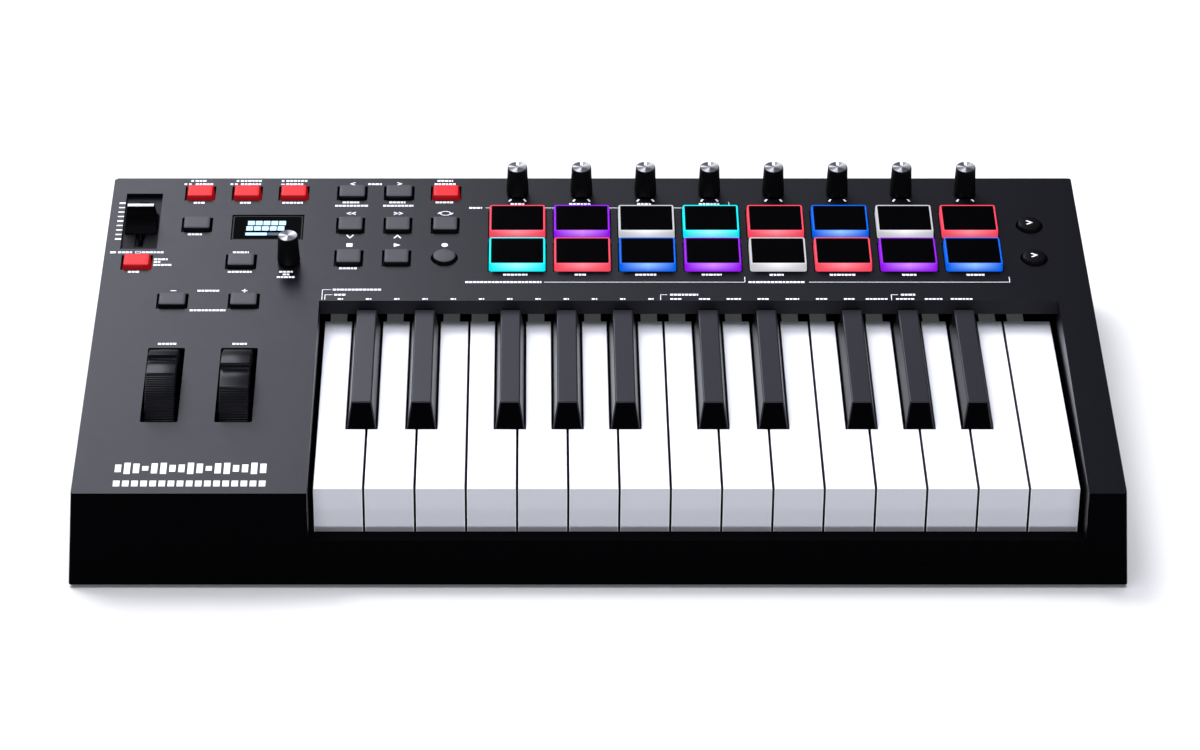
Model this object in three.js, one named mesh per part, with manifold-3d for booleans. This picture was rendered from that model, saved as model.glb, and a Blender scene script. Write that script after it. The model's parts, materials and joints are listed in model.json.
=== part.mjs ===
// A 25-key midi keyboard controller, in millimetres.
// +X is right, +Y is back, +Z is up. The origin is the middle of the footprint, on the floor.
import * as THREE from "three";
import { mergeVertices } from "three/addons/utils/BufferGeometryUtils.js";
import Module from "manifold-3d";

const wasm = await Module();
wasm.setup();

// ---- Driving dimensions: casing ----
const CASE_HALF_WIDTH = 244; // at the underside
const CASE_HALF_DEPTH = 128; // at the underside
const CASE_BOTTOM_Z = 2;
const SIDE_DRAFT = 0.07; // how far each wall leans in, per mm of height
const FRONT_DRAFT = 0.04;
const SEAM_Z = 12; // top of the lower tray's outer wall
const SEAM_GAP = 0.5;
const WALL = 2.5;
const FIT_GAP = 0.3;
const FOOT_RADIUS = 8;
const FOOT_PLACES = [-215, 0, 215].flatMap((x) => [-105, 105].map((y) => [x, y]));
const POST_RADIUS = 3;
const POST_SPLIT_Z = 14;
const POST_PLACES = [-118, -20, 118].flatMap((y) => [-232.5, 232.5].map((x) => [x, y]));

// The top face of the casing is one plane that climbs towards the back.
const PANEL_FRONT_Y = -126;
const PANEL_FRONT_Z = 51.4;
const PANEL_BACK_Y = 127;
const PANEL_BACK_Z = 69.8;
const PANEL_RISE = (PANEL_BACK_Z - PANEL_FRONT_Z) / (PANEL_BACK_Y - PANEL_FRONT_Y);
const PANEL_TILT = Math.atan(PANEL_RISE);

// ---- Driving dimensions: keys ----
const KEY_PITCH = 23.5;
const WHITE_KEYS = 15;
const OCTAVE_WHITE_KEYS = 7;
const OCTAVE_KEYS = 12;
const KEYS_CENTRE_X = 45;
const KEYS_LEFT_X = KEYS_CENTRE_X - (WHITE_KEYS * KEY_PITCH) / 2;
const KEY_GAP = 1.1;
const KEY_WALL = 1.7;
const WHITE_TOP_Z = 46.5;
const WHITE_TOP_THICKNESS = 2.2;
const WHITE_FRONT_Y = -114.5;
const WHITE_FRONT_LOW_Z = 22.1;
const WHITE_SKIRT_Z = 31;
const WHITE_BACK_Y = 30;
const BLACK_FRONT_Y = -64.5;
const BLACK_BACK_Y = 22;
const BLACK_TOP_Z = 58.2;
const BLACK_SKIRT_Z = 37;
const BLACK_BASE_WIDTH = 13.7;
const BLACK_TOP_WIDTH = 9.5;
const BLACK_FRONT_SET_BACK = 4.8;
const BLACK_BACK_SET_IN = 0.5;
const BLACK_CLEARANCE = 0.7;
// Middle of each sharp within an octave, in key pitches from the octave's left end.
const SHARP_PLACES = [0.9, 2.09, 3.85, 5, 6.15];
const SHARP_NUMBERS = [1, 3, 6, 8, 10];
const NATURAL_NUMBERS = [0, 2, 4, 5, 7, 9, 11];
const ARM_PITCH = (OCTAVE_WHITE_KEYS * KEY_PITCH) / OCTAVE_KEYS;
const ARM_WIDTH = 8;
const ARM_Z = [36, 44];
const ARM_BACK_Y = 58;
const PIVOT_Y = 52;
const PIVOT_Z = 39.5;
const PIVOT_ROD_RADIUS = 2;
const PIVOT_CLEARANCE = 0.35;

// ---- Driving dimensions: the well that the keys lie in ----
const WELL_X = [-133.1, 223.3];
const WELL_FRONT_Y = -119.6;
const WELL_BACK_Y = 23.5;
const LIP_TOP_Z = 26;
const WELL_WALL_LOW_Z = 20;
const FASCIA_LOW_Z = 54.7;

// ---- Driving dimensions: controls, with plan places measured on the top face ----
const TOP_ROW_Y = 114.6;
const PAD_ROWS_Y = [87.6, 59.7];
const PAD_COLUMNS = 8;
const PAD_FIRST_X = -37.7;
const PAD_PITCH = 31.8;
const PAD_BASE = [28, 23.4];
const PAD_TOP = [27.2, 22.6];
const PAD_FLANGE = [30.4, 25.8];
const PAD_OPENING = [28.8, 24.2];
const PAD_HEIGHT = 4.1;
const MAT_HEIGHTS = [-5.6, -4.4]; // of the flange under each pad or button, from the top face

const BUTTON_HEIGHT = 2;
const BUTTON_OPENING = [15.3, 12.4];
const TRANSPORT_OPENING = [14.3, 13.6];
const BUTTON_EDGE = 0.5; // clearance round a button in its opening
const BUTTON_TAPER = 0.8; // how far each side leans in up to the top
const LEFT_COLUMNS_X = [-195.7, -172.4, -149.1];
const RIGHT_COLUMNS_X = [-120, -96.65, -73.3];
const FUNCTION_BUTTONS = [
  ...[...LEFT_COLUMNS_X, ...RIGHT_COLUMNS_X].map((x) => [x, TOP_ROW_Y]),
  [-195.7, 87.2],
  [-172.4, 55.8],
  [-223.3, 55.3],
  [-203.8, 23.1],
  [-169.4, 23.1],
];
const TRANSPORT_ROWS_Y = [86.5, 58.7];
const TRANSPORT_BUTTONS = [
  ...RIGHT_COLUMNS_X.map((x) => [x, TRANSPORT_ROWS_Y[0]]),
  ...RIGHT_COLUMNS_X.slice(0, 2).map((x) => [x, TRANSPORT_ROWS_Y[1]]),
];
const RECORD_BUTTON = [-73.3, 59.1];
const SCENE_BUTTONS = TRANSPORT_ROWS_Y.map((y) => [214.8, y]);
const ROUND_OPENING_RADIUS = 6.7;
const ROUND_TOP_RADIUS = 5.4;
const CONTROL_MAT_AREAS = [
  { x: [-205, -64.5], y: [107, 122] },
  { x: [-205, -183], y: [15, 122] },
  { x: [-129.5, -64.5], y: [50, 122] },
  { x: [-232, -163], y: [47.5, 63.5] },
  { x: [-213, -160], y: [15, 31] },
];
const SCENE_MAT_AREAS = [{ x: [205.5, 225], y: [49, 96] }];

const KNOB_Y = 115;
const KNOB_FOOT_GAP = 0.8;
const KNOB_HEIGHT = 15.7;
const KNOB_BASE_RADIUS = 5.6;
const KNOB_TOP_RADIUS = 4.95;
const KNOB_BEVEL = 0.5;
const KNOB_SEGMENTS = 20;
const KNOB_BORE_DEPTH = 12;
const KNOB_HOLE_RADIUS = 3.7;
const ENCODER_PLACE = [-149.1, 56];
const SHAFT_RADIUS = 3;
const SHAFT_TOP = 12;

const DISPLAY_PLACE = [-160.9, 85.3];
const DISPLAY_OPENING = [35.6, 21.5];
const DISPLAY_EDGE = 0.4;
const DISPLAY_HEIGHTS = [-3.8, -0.4];
const DISPLAY_FLANGE = [38, 24];
const DISPLAY_FLANGE_TOP = -2.8;
const DISPLAY_MODULE = [36, 22];

const FADER_PLACE = [-223.3, 90.6];
const FADER_POCKET = [18, 47.8];
const FADER_POCKET_DEPTH = 2.2;
const FADER_POCKET_FLOOR = 2.2;
const FADER_SLOT = [5, 38.6];
const FADER_CAP_BASE = [16.2, 17];
const FADER_CAP_TOP = [13.6, 2.6];
const FADER_CAP_WAIST = [15.4, 5];
const FADER_CAP_HEIGHTS = [-1.6, 3.4, 9.6];
const FADER_STEM = [1.4, 4];
const FADER_STEM_LOW = -9.2;
const FADER_BODY = [12, 46];
const FADER_BODY_TOP = -5.2;
const FADER_GROOVE = [2.6, 38];
const FADER_GROOVE_LOW = -10;

const WHEEL_RADIUS = 30.5;
const WHEEL_WIDTH = 13.8;
const WHEEL_DEPTH = 17.5; // axle below the top face
const WHEEL_Y = -43.7;
const WHEELS_X = { pitch_wheel: -204, mod_wheel: -169.4 };
const WHEEL_REST_ANGLE = { pitch_wheel: 0, mod_wheel: -14 }; // of the thumb notch, minus is forward
const WHEEL_WINDOW = [17.6, 58.2];
const WHEEL_SEGMENTS = 60;
const NOTCH_HALF_ANGLE = 13.5;
const NOTCH_DEPTH = 2;
const AXLE_RADIUS = 3;
const AXLE_REACH = 6;
const AXLE_POST_GAP = 1.5;
const AXLE_POST = { thickness: 3, depth: 12, above: 5 };

// ---- Driving dimensions: inside ----
const BOARD_HEIGHTS = [-12.6, -11];
const BOARD_AREAS = [
  { x: [-228, 228], y: [38, 121] },
  { x: [-228, -140], y: [10, 121] },
];
const SWITCH_SIZE = 6;
const SWITCH_TOP = -7.3;
const POT_SIZE = 9.5;
const POT_TOP = -4.6;
const FRAME_PLATE = { x: [-131.5, 221.5], y: [-112, 60], z: [4.8, 7.2] };
const FRONT_RAIL = { y: [-106, -94], topZ: 19 };
const GUIDE_POST = { halfWidth: 2.5, y: [-104, -96], topZ: 32 };
const PIVOT_RIB = { thickness: 1.6, y: [46, 58], topZ: 42 };
const SOCKET_Z = 45;
const SOCKET_BAY = { x: [-216, -100], z: [33, 57] };
const SOCKET_PLATE_FLANGE = 2; // how far the plate reaches behind the rear wall
const SOCKET_PLATE_REAR = 2; // thickness of that flange
const USB_SOCKET = { x: -205, body: [12, 11, 16], cavity: [8.6, 7.9, 13] };
const DIN_SOCKET = { x: -172, body: [19, 18.6, 16], radius: 7.6, deep: 9 };
const JACK_SOCKETS = [-138, -112].map((x) => ({ x, body: [14, 14, 34], radius: 3.3, deep: 30 }));

// ---- Colours ----
const CHARCOAL = { color: 0x38373b, roughness: 0.55, metalness: 0 };
const BLACK_PLASTIC = { color: 0x0e0e10, roughness: 0.4, metalness: 0 };
const WHITE_PLASTIC = { color: 0xf4f5f7, roughness: 0.25, metalness: 0 };
const BLACK_GLOSS = { color: 0x151517, roughness: 0.2, metalness: 0 };
const GREY_SILICONE = { color: 0x6b6b6e, roughness: 0.6, metalness: 0 };
const FRAME_GREY = { color: 0x2b2c2e, roughness: 0.6, metalness: 0 };
const BOARD_GREEN = { color: 0x1d4a34, roughness: 0.5, metalness: 0 };
const PAD_COLOURS = {
  red: 0xff4d5f,
  purple: 0x8c1eff,
  white: 0xe4e4e8,
  cyan: 0x10f0f5,
  blue: 0x0a78ff,
};
const PAD_LIGHTS = [
  ["red", "purple", "white", "cyan", "red", "blue", "white", "red"],
  ["cyan", "red", "blue", "purple", "white", "red", "purple", "blue"],
];

// ---- Solids ----

// A closed geometry as a solid that can be joined and cut.
function solid(geometry) {
  const bare = geometry.clone();
  bare.deleteAttribute("normal");
  bare.deleteAttribute("uv");
  const merged = mergeVertices(bare, 1e-4);
  return new wasm.Manifold(
    new wasm.Mesh({
      numProp: 3,
      vertProperties: merged.attributes.position.array,
      triVerts: new Uint32Array(merged.index.array),
    }),
  );
}

// A solid as a geometry for a mesh.
function geometryOf(body) {
  const mesh = body.getMesh();
  const geometry = new THREE.BufferGeometry();
  geometry.setAttribute("position", new THREE.BufferAttribute(mesh.vertProperties, 3));
  geometry.setIndex(new THREE.BufferAttribute(mesh.triVerts, 1));
  return geometry;
}

function joined(solids) {
  return solids.reduce((all, one) => all.add(one));
}

// A six-sided block whose corners are pointAt(u, v, w), with u, v and w each 0 or 1.
function shapedBlock(pointAt) {
  const geometry = new THREE.BoxGeometry(1, 1, 1);
  const corners = geometry.attributes.position;
  for (let i = 0; i < corners.count; i++) {
    const point = pointAt(corners.getX(i) + 0.5, corners.getY(i) + 0.5, corners.getZ(i) + 0.5);
    corners.setXYZ(i, ...point);
  }
  return solid(geometry);
}

function block(x, y, z) {
  return shapedBlock((u, v, w) => [x[u], y[v], z[w]]);
}

// A block that tapers from one rectangle at z[0] to another at z[1].
function taperedBlock(low, high, z) {
  return shapedBlock((u, v, w) => {
    const face = w ? high : low;
    return [face.x[u], face.y[v], z[w]];
  });
}

function span(centre, size) {
  return [centre - size / 2, centre + size / 2];
}

// An upright cylinder or cone.
function post(x, y, z, radius, topRadius = radius, segments = 20) {
  const geometry = new THREE.CylinderGeometry(topRadius, radius, z[1] - z[0], segments);
  geometry.rotateX(Math.PI / 2);
  geometry.translate(x, y, (z[0] + z[1]) / 2);
  return solid(geometry);
}

// A cylinder along X.
function crossRod(x, y, z, radius, segments = 16) {
  const geometry = new THREE.CylinderGeometry(radius, radius, x[1] - x[0], segments);
  geometry.rotateZ(-Math.PI / 2);
  geometry.translate((x[0] + x[1]) / 2, y, z);
  return solid(geometry);
}

// A cylinder along Y.
function depthRod(x, y, z, radius, segments = 24) {
  const geometry = new THREE.CylinderGeometry(radius, radius, y[1] - y[0], segments);
  geometry.translate(x, (y[0] + y[1]) / 2, z);
  return solid(geometry);
}

// ---- The sloped top face ----

function panelZ(y) {
  return PANEL_FRONT_Z + PANEL_RISE * (y - PANEL_FRONT_Y);
}

// Distance up the slope from the front edge to a plan place.
function upSlope(y) {
  return (y - PANEL_FRONT_Y) / Math.cos(PANEL_TILT);
}

const panelMatrix = new THREE.Matrix4()
  .makeTranslation(0, PANEL_FRONT_Y, PANEL_FRONT_Z)
  .multiply(new THREE.Matrix4().makeRotationX(PANEL_TILT));

// A solid made in the panel's own frame (x, distance up the slope, height), moved onto the casing.
function ontoPanel(body) {
  return body.transform(panelMatrix.elements);
}

// A block in the panel's frame, round a plan place.
function panelBlock([x, y], [width, depth], heights) {
  return block(span(x, width), span(upSlope(y), depth), heights);
}

function panelAreas(areas, heights) {
  return joined(areas.map(({ x, y }) => block(x, y.map(upSlope), heights)));
}

// The point on or under the top face at a plan place, in the object's frame.
function panelPoint(x, y, height) {
  return new THREE.Vector3(x, upSlope(y), height).applyMatrix4(panelMatrix);
}

// ---- Casing ----

function halfWidthAt(z) {
  return CASE_HALF_WIDTH - SIDE_DRAFT * (z - CASE_BOTTOM_Z);
}

function frontYAt(z) {
  return -CASE_HALF_DEPTH + FRONT_DRAFT * (z - CASE_BOTTOM_Z);
}

// The casing's outline moved in by inset, between two heights. high is a height, or a function of y.
function caseBlock(inset, low, high) {
  const highAt = typeof high === "function" ? high : () => high;
  const frontHigh = highAt(PANEL_FRONT_Y + inset);
  const backHigh = highAt(PANEL_BACK_Y - inset);
  return shapedBlock((u, v, w) => {
    const topZ = v ? backHigh : frontHigh;
    const z = w ? topZ : low;
    const x = (halfWidthAt(z) - inset) * (u ? 1 : -1);
    const y = v ? CASE_HALF_DEPTH - inset : frontYAt(z) + inset;
    return [x, y, z];
  });
}

function wellSolids() {
  const wide = [WELL_X[0] - WALL, WELL_X[1] + WALL];
  const deep = [frontYAt(0) + WALL / 2, WELL_BACK_Y + WALL];
  const tall = [WELL_WALL_LOW_Z, PANEL_BACK_Z];
  const walls = [
    block([wide[0], WELL_X[0]], deep, tall),
    block([WELL_X[1], wide[1]], deep, tall),
    block(wide, [WELL_BACK_Y, WELL_BACK_Y + WALL], [FASCIA_LOW_Z, PANEL_BACK_Z]),
  ];
  const lip = block(WELL_X, [frontYAt(0) + WALL / 2, WELL_FRONT_Y], [LIP_TOP_Z - WALL, LIP_TOP_Z]);
  const lipEdge = block(wide, [WELL_FRONT_Y - WALL, WELL_FRONT_Y], [WELL_WALL_LOW_Z, LIP_TOP_Z]);
  return joined([...walls, lip, lipEdge]);
}

function wellCut() {
  const below = block(WELL_X, [WELL_FRONT_Y, WELL_BACK_Y], [0, PANEL_BACK_Z]);
  const frontGap = block(WELL_X, [-2 * CASE_HALF_DEPTH, WELL_BACK_Y], [LIP_TOP_Z, PANEL_BACK_Z]);
  return below.add(frontGap);
}

// Everything that has to pass through the top face, cut in the panel's own frame.
function panelOpenings() {
  const through = [-2 * WALL, 2 * WALL];
  const pads = PAD_ROWS_Y.flatMap((y) =>
    padColumnsX().map((x) => panelBlock([x, y], PAD_OPENING, through)),
  );
  const buttons = FUNCTION_BUTTONS.map((place) => panelBlock(place, BUTTON_OPENING, through));
  const transport = TRANSPORT_BUTTONS.map((place) =>
    panelBlock(place, TRANSPORT_OPENING, through),
  );
  const rounds = [RECORD_BUTTON, ...SCENE_BUTTONS].map(([x, y]) =>
    post(x, upSlope(y), through, ROUND_OPENING_RADIUS, ROUND_OPENING_RADIUS, 24),
  );
  const shafts = [...knobPlaces(), ENCODER_PLACE].map(([x, y]) =>
    post(x, upSlope(y), through, KNOB_HOLE_RADIUS),
  );
  const windows = Object.values(WHEELS_X).map((x) =>
    panelBlock([x, WHEEL_Y], WHEEL_WINDOW, through),
  );
  const display = panelBlock(DISPLAY_PLACE, DISPLAY_OPENING, through);
  const pocket = panelBlock(FADER_PLACE, FADER_POCKET, [-FADER_POCKET_DEPTH, WALL]);
  const slot = panelBlock(FADER_PLACE, FADER_SLOT, through);
  return [...pads, ...buttons, ...transport, ...rounds, ...shafts, ...windows, display, pocket, slot];
}

function faderTray() {
  const size = FADER_POCKET.map((side) => side + 2 * WALL);
  const low = -FADER_POCKET_DEPTH - FADER_POCKET_FLOOR;
  return panelBlock(FADER_PLACE, size, [low, -WALL / 2]);
}

// The bay in the rear wall that the socket plate fills.
function socketBay() {
  return block(SOCKET_BAY.x, [CASE_HALF_DEPTH - 2 * WALL, CASE_HALF_DEPTH + WALL], SOCKET_BAY.z);
}

function screwPosts(z) {
  return joined(POST_PLACES.map(([x, y]) => post(x, y, z, POST_RADIUS, POST_RADIUS, 12)));
}

function topPanel() {
  const outer = caseBlock(0, SEAM_Z + SEAM_GAP, panelZ);
  const inner = caseBlock(WALL, 0, (y) => panelZ(y) - WALL);
  const posts = screwPosts([POST_SPLIT_Z, PANEL_BACK_Z]);
  const inside = joined([wellSolids(), posts, ontoPanel(faderTray())]);
  const shell = outer.subtract(inner).subtract(wellCut());
  const cuts = ontoPanel(joined(panelOpenings())).add(socketBay());
  return shell.add(inside.intersect(outer)).subtract(cuts);
}

function axlePosts() {
  const { thickness, depth, above } = AXLE_POST;
  const reach = WHEEL_WIDTH / 2 + AXLE_POST_GAP + thickness / 2;
  return Object.values(WHEELS_X).flatMap((x) => {
    const axle = panelPoint(x, WHEEL_Y, -WHEEL_DEPTH);
    const notchWidth = 2 * (AXLE_RADIUS + PIVOT_CLEARANCE);
    return [-reach, reach].map((offset) => {
      const across = span(x + offset, thickness);
      const bearing = crossRod(span(x + offset, 2 * thickness), axle.y, axle.z, notchWidth / 2);
      const mouth = block(span(x + offset, 2 * thickness), span(axle.y, notchWidth), [
        axle.z,
        axle.z + 2 * above,
      ]);
      return block(across, span(axle.y, depth), [CASE_BOTTOM_Z + WALL / 2, axle.z + above])
        .subtract(bearing)
        .subtract(mouth);
    });
  });
}

function bottomCase() {
  const outer = caseBlock(0, CASE_BOTTOM_Z, SEAM_Z);
  const inner = caseBlock(WALL, CASE_BOTTOM_Z + WALL, SEAM_Z + WALL);
  const lipInset = WALL + FIT_GAP;
  const lip = caseBlock(lipInset, CASE_BOTTOM_Z + WALL / 2, SEAM_Z + WALL).subtract(
    caseBlock(lipInset + WALL / 2, 0, SEAM_Z + 2 * WALL),
  );
  const feet = FOOT_PLACES.map(([x, y]) => post(x, y, [0, CASE_BOTTOM_Z + WALL / 2], FOOT_RADIUS));
  const posts = screwPosts([CASE_BOTTOM_Z + WALL / 2, POST_SPLIT_Z - FIT_GAP]);
  return joined([outer.subtract(inner), lip, ...feet, posts, ...axlePosts()]);
}

// ---- Keybed ----

function keybedFrame() {
  const plate = block(FRAME_PLATE.x, FRAME_PLATE.y, FRAME_PLATE.z);
  const [, plateTop] = FRAME_PLATE.z;
  const rail = block(FRAME_PLATE.x, FRONT_RAIL.y, [plateTop - 1, FRONT_RAIL.topZ]);
  const guides = whiteNumbers().map((i) => {
    const x = span(whiteCentreX(i), 2 * GUIDE_POST.halfWidth);
    return block(x, GUIDE_POST.y, [FRONT_RAIL.topZ - 1, GUIDE_POST.topZ]);
  });
  const ribs = [];
  const armGaps = Math.floor(((WHITE_KEYS - 1) / OCTAVE_WHITE_KEYS) * OCTAVE_KEYS) + 1;
  for (let gap = 0; gap <= armGaps; gap += 2) {
    const x = span(KEYS_LEFT_X + gap * ARM_PITCH, PIVOT_RIB.thickness);
    ribs.push(block(x, PIVOT_RIB.y, [plateTop - 1, PIVOT_RIB.topZ]));
  }
  const rod = crossRod(FRAME_PLATE.x, PIVOT_Y, PIVOT_Z, PIVOT_ROD_RADIUS, 12);
  const endRib = block(span(FRAME_PLATE.x[1] - 1, 2), PIVOT_RIB.y, [plateTop - 1, PIVOT_RIB.topZ]);
  return joined([plate, rail, rod, ...guides, ...ribs, endRib]);
}

function whiteNumbers() {
  return Array.from({ length: WHITE_KEYS }, (_, i) => i);
}

function whiteCentreX(index) {
  return KEYS_LEFT_X + (index + 0.5) * KEY_PITCH;
}

// Every sharp: its middle, and its number counted along all the keys.
function sharps() {
  const octaves = Math.floor(WHITE_KEYS / OCTAVE_WHITE_KEYS);
  return Array.from({ length: octaves }, (_, octave) =>
    SHARP_PLACES.map((place, i) => ({
      x: KEYS_LEFT_X + (octave * OCTAVE_WHITE_KEYS + place) * KEY_PITCH,
      number: octave * OCTAVE_KEYS + SHARP_NUMBERS[i],
    })),
  ).flat();
}

// The arm behind a key, with an open hook over the pivot rod.
function keyArm(number, frontY) {
  const x = span(KEYS_LEFT_X + (number + 0.5) * ARM_PITCH, ARM_WIDTH);
  const hookRadius = PIVOT_ROD_RADIUS + PIVOT_CLEARANCE;
  const wide = [x[0] - 1, x[1] + 1];
  return block(x, [frontY, ARM_BACK_Y], ARM_Z)
    .subtract(crossRod(wide, PIVOT_Y, PIVOT_Z, hookRadius))
    .subtract(block(wide, span(PIVOT_Y, 2 * hookRadius), [0, PIVOT_Z]));
}

// The part of a white key between the sharps beside it.
function whiteTail(index) {
  const half = (BLACK_BASE_WIDTH + 2 * BLACK_CLEARANCE) / 2;
  const centre = whiteCentreX(index);
  const x = span(centre, KEY_PITCH - KEY_GAP);
  for (const sharp of sharps()) {
    if (Math.abs(sharp.x - centre) > KEY_PITCH) continue;
    if (sharp.x < centre) x[0] = Math.max(x[0], sharp.x + half);
    else x[1] = Math.min(x[1], sharp.x - half);
  }
  return x;
}

function whiteKey(index) {
  const headX = span(whiteCentreX(index), KEY_PITCH - KEY_GAP);
  const tailX = whiteTail(index);
  const headBackY = BLACK_FRONT_Y - BLACK_CLEARANCE;
  const shrink = ([low, high]) => [low + KEY_WALL, high - KEY_WALL];
  const inside = [0, WHITE_TOP_Z - WHITE_TOP_THICKNESS];
  const outer = block(headX, [WHITE_FRONT_Y, headBackY], [WHITE_SKIRT_Z, WHITE_TOP_Z])
    .add(block(tailX, [headBackY - 1, WHITE_BACK_Y], [WHITE_SKIRT_Z, WHITE_TOP_Z]))
    .add(
      block(
        headX,
        [WHITE_FRONT_Y, WHITE_FRONT_Y + KEY_WALL],
        [WHITE_FRONT_LOW_Z, WHITE_TOP_Z],
      ),
    );
  const hollow = block(shrink(headX), shrink([WHITE_FRONT_Y, headBackY]), inside).add(
    block(shrink(tailX), [headBackY - 2 * KEY_WALL, WHITE_BACK_Y - KEY_WALL], inside),
  );
  const octave = Math.floor(index / OCTAVE_WHITE_KEYS);
  const number = octave * OCTAVE_KEYS + NATURAL_NUMBERS[index % OCTAVE_WHITE_KEYS];
  return outer.subtract(hollow).add(keyArm(number, WHITE_BACK_Y - KEY_WALL / 2));
}

function blackKey({ x, number }) {
  const baseX = span(x, BLACK_BASE_WIDTH);
  const base = { x: baseX, y: [BLACK_FRONT_Y, BLACK_BACK_Y] };
  const top = {
    x: span(x, BLACK_TOP_WIDTH),
    y: [BLACK_FRONT_Y + BLACK_FRONT_SET_BACK, BLACK_BACK_Y - BLACK_BACK_SET_IN],
  };
  const shrunk = ({ x: across, y }) => ({
    x: [across[0] + KEY_WALL, across[1] - KEY_WALL],
    y: [y[0] + KEY_WALL, y[1] - KEY_WALL],
  });
  const cap = taperedBlock(base, top, [WHITE_TOP_Z, BLACK_TOP_Z]);
  const skirt = block(base.x, base.y, [BLACK_SKIRT_Z, WHITE_TOP_Z]);
  const room = shrunk(base);
  const hollow = block(room.x, room.y, [0, WHITE_TOP_Z]).add(
    taperedBlock(room, shrunk(top), [WHITE_TOP_Z - 1, BLACK_TOP_Z - WHITE_TOP_THICKNESS]),
  );
  return cap.add(skirt).subtract(hollow).add(keyArm(number, BLACK_BACK_Y - KEY_WALL / 2));
}

// ---- Controls, each made in the panel's frame round its own place ----

function padColumnsX() {
  return Array.from({ length: PAD_COLUMNS }, (_, i) => PAD_FIRST_X + i * PAD_PITCH);
}

function knobPlaces() {
  return padColumnsX().map((x) => [x, KNOB_Y]);
}

function centred([width, depth]) {
  return { x: span(0, width), y: span(0, depth) };
}

function pad() {
  const flange = centred(PAD_FLANGE);
  const body = taperedBlock(centred(PAD_BASE), centred(PAD_TOP), [MAT_HEIGHTS[0], PAD_HEIGHT]);
  return body.add(block(flange.x, flange.y, MAT_HEIGHTS));
}

function button([x, y], opening) {
  const low = opening.map((side) => side - 2 * BUTTON_EDGE);
  const high = low.map((side) => side - 2 * BUTTON_TAPER);
  const at = (size) => ({ x: span(x, size[0]), y: span(upSlope(y), size[1]) });
  return taperedBlock(at(low), at(high), [MAT_HEIGHTS[0], BUTTON_HEIGHT]);
}

function roundButton([x, y]) {
  const low = ROUND_OPENING_RADIUS - BUTTON_EDGE;
  return post(x, upSlope(y), [MAT_HEIGHTS[0], BUTTON_HEIGHT], low, ROUND_TOP_RADIUS, 24);
}

function controlKeypad() {
  return joined([
    panelAreas(CONTROL_MAT_AREAS, MAT_HEIGHTS),
    ...FUNCTION_BUTTONS.map((place) => button(place, BUTTON_OPENING)),
    ...TRANSPORT_BUTTONS.map((place) => button(place, TRANSPORT_OPENING)),
    roundButton(RECORD_BUTTON),
  ]);
}

function sceneKeypad() {
  return joined([panelAreas(SCENE_MAT_AREAS, MAT_HEIGHTS), ...SCENE_BUTTONS.map(roundButton)]);
}

// A turned knob with a blind bore for its shaft, standing at the panel frame's origin.
function knob() {
  const boreRadius = SHAFT_RADIUS + FIT_GAP;
  const boreTop = KNOB_FOOT_GAP + KNOB_BORE_DEPTH;
  const profile = [
    [0, boreTop],
    [boreRadius, boreTop],
    [boreRadius, KNOB_FOOT_GAP],
    [KNOB_BASE_RADIUS, KNOB_FOOT_GAP],
    [KNOB_TOP_RADIUS, KNOB_HEIGHT - KNOB_BEVEL],
    [KNOB_TOP_RADIUS - KNOB_BEVEL, KNOB_HEIGHT],
    [0, KNOB_HEIGHT],
  ].map(([r, z]) => new THREE.Vector2(r, z));
  const geometry = new THREE.LatheGeometry(profile, KNOB_SEGMENTS);
  geometry.rotateX(Math.PI / 2);
  return solid(geometry);
}

// A flared cap with a narrow ridge across it, and the thin stem that goes down into the fader.
function faderCap() {
  const [low, middle, high] = FADER_CAP_HEIGHTS;
  const foot = taperedBlock(centred(FADER_CAP_BASE), centred(FADER_CAP_WAIST), [low, middle]);
  const ridge = taperedBlock(centred(FADER_CAP_WAIST), centred(FADER_CAP_TOP), [middle, high]);
  const stem = centred(FADER_STEM);
  return joined([foot, ridge, block(stem.x, stem.y, [FADER_STEM_LOW, low + 1])]);
}

// The rim's radius at an angle from the top, in degrees. The thumb notch drops at its back edge
// and climbs to its front edge.
function rimRadius(angle) {
  const across = (angle + NOTCH_HALF_ANGLE) / (2 * NOTCH_HALF_ANGLE);
  const inNotch = across > 0 && across < 1;
  return WHEEL_RADIUS - (inNotch ? NOTCH_DEPTH * Math.min(1, 1.6 * across) : 0);
}

// A wheel round its axle at the origin, with a stub axle on each side.
function wheel(restAngle) {
  const outline = new THREE.Shape();
  for (let i = 0; i < WHEEL_SEGMENTS; i++) {
    const angle = (i * 360) / WHEEL_SEGMENTS - 180;
    const turned = THREE.MathUtils.degToRad(90 - angle - restAngle);
    const radius = rimRadius(angle);
    outline.lineTo(radius * Math.cos(turned), radius * Math.sin(turned));
  }
  const settings = { depth: WHEEL_WIDTH, bevelEnabled: false };
  const geometry = new THREE.ExtrudeGeometry(outline, settings);
  geometry.translate(0, 0, -WHEEL_WIDTH / 2);
  const [back, up, right] = [
    new THREE.Vector3(0, 1, 0),
    new THREE.Vector3(0, 0, 1),
    new THREE.Vector3(1, 0, 0),
  ];
  geometry.applyMatrix4(new THREE.Matrix4().makeBasis(back, up, right));
  const halfAxle = WHEEL_WIDTH / 2 + AXLE_REACH;
  return solid(geometry).add(crossRod([-halfAxle, halfAxle], 0, 0, AXLE_RADIUS));
}

// ---- Circuit board ----

// The display module stands on the board and holds its lens up into the opening.
function displayModule() {
  const [low, high] = DISPLAY_HEIGHTS;
  const lens = DISPLAY_OPENING.map((side) => side - 2 * DISPLAY_EDGE);
  return joined([
    panelBlock(DISPLAY_PLACE, DISPLAY_MODULE, [BOARD_HEIGHTS[0], low + 1]),
    panelBlock(DISPLAY_PLACE, DISPLAY_FLANGE, [low, DISPLAY_FLANGE_TOP]),
    panelBlock(DISPLAY_PLACE, lens, [low, high]),
  ]);
}

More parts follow.
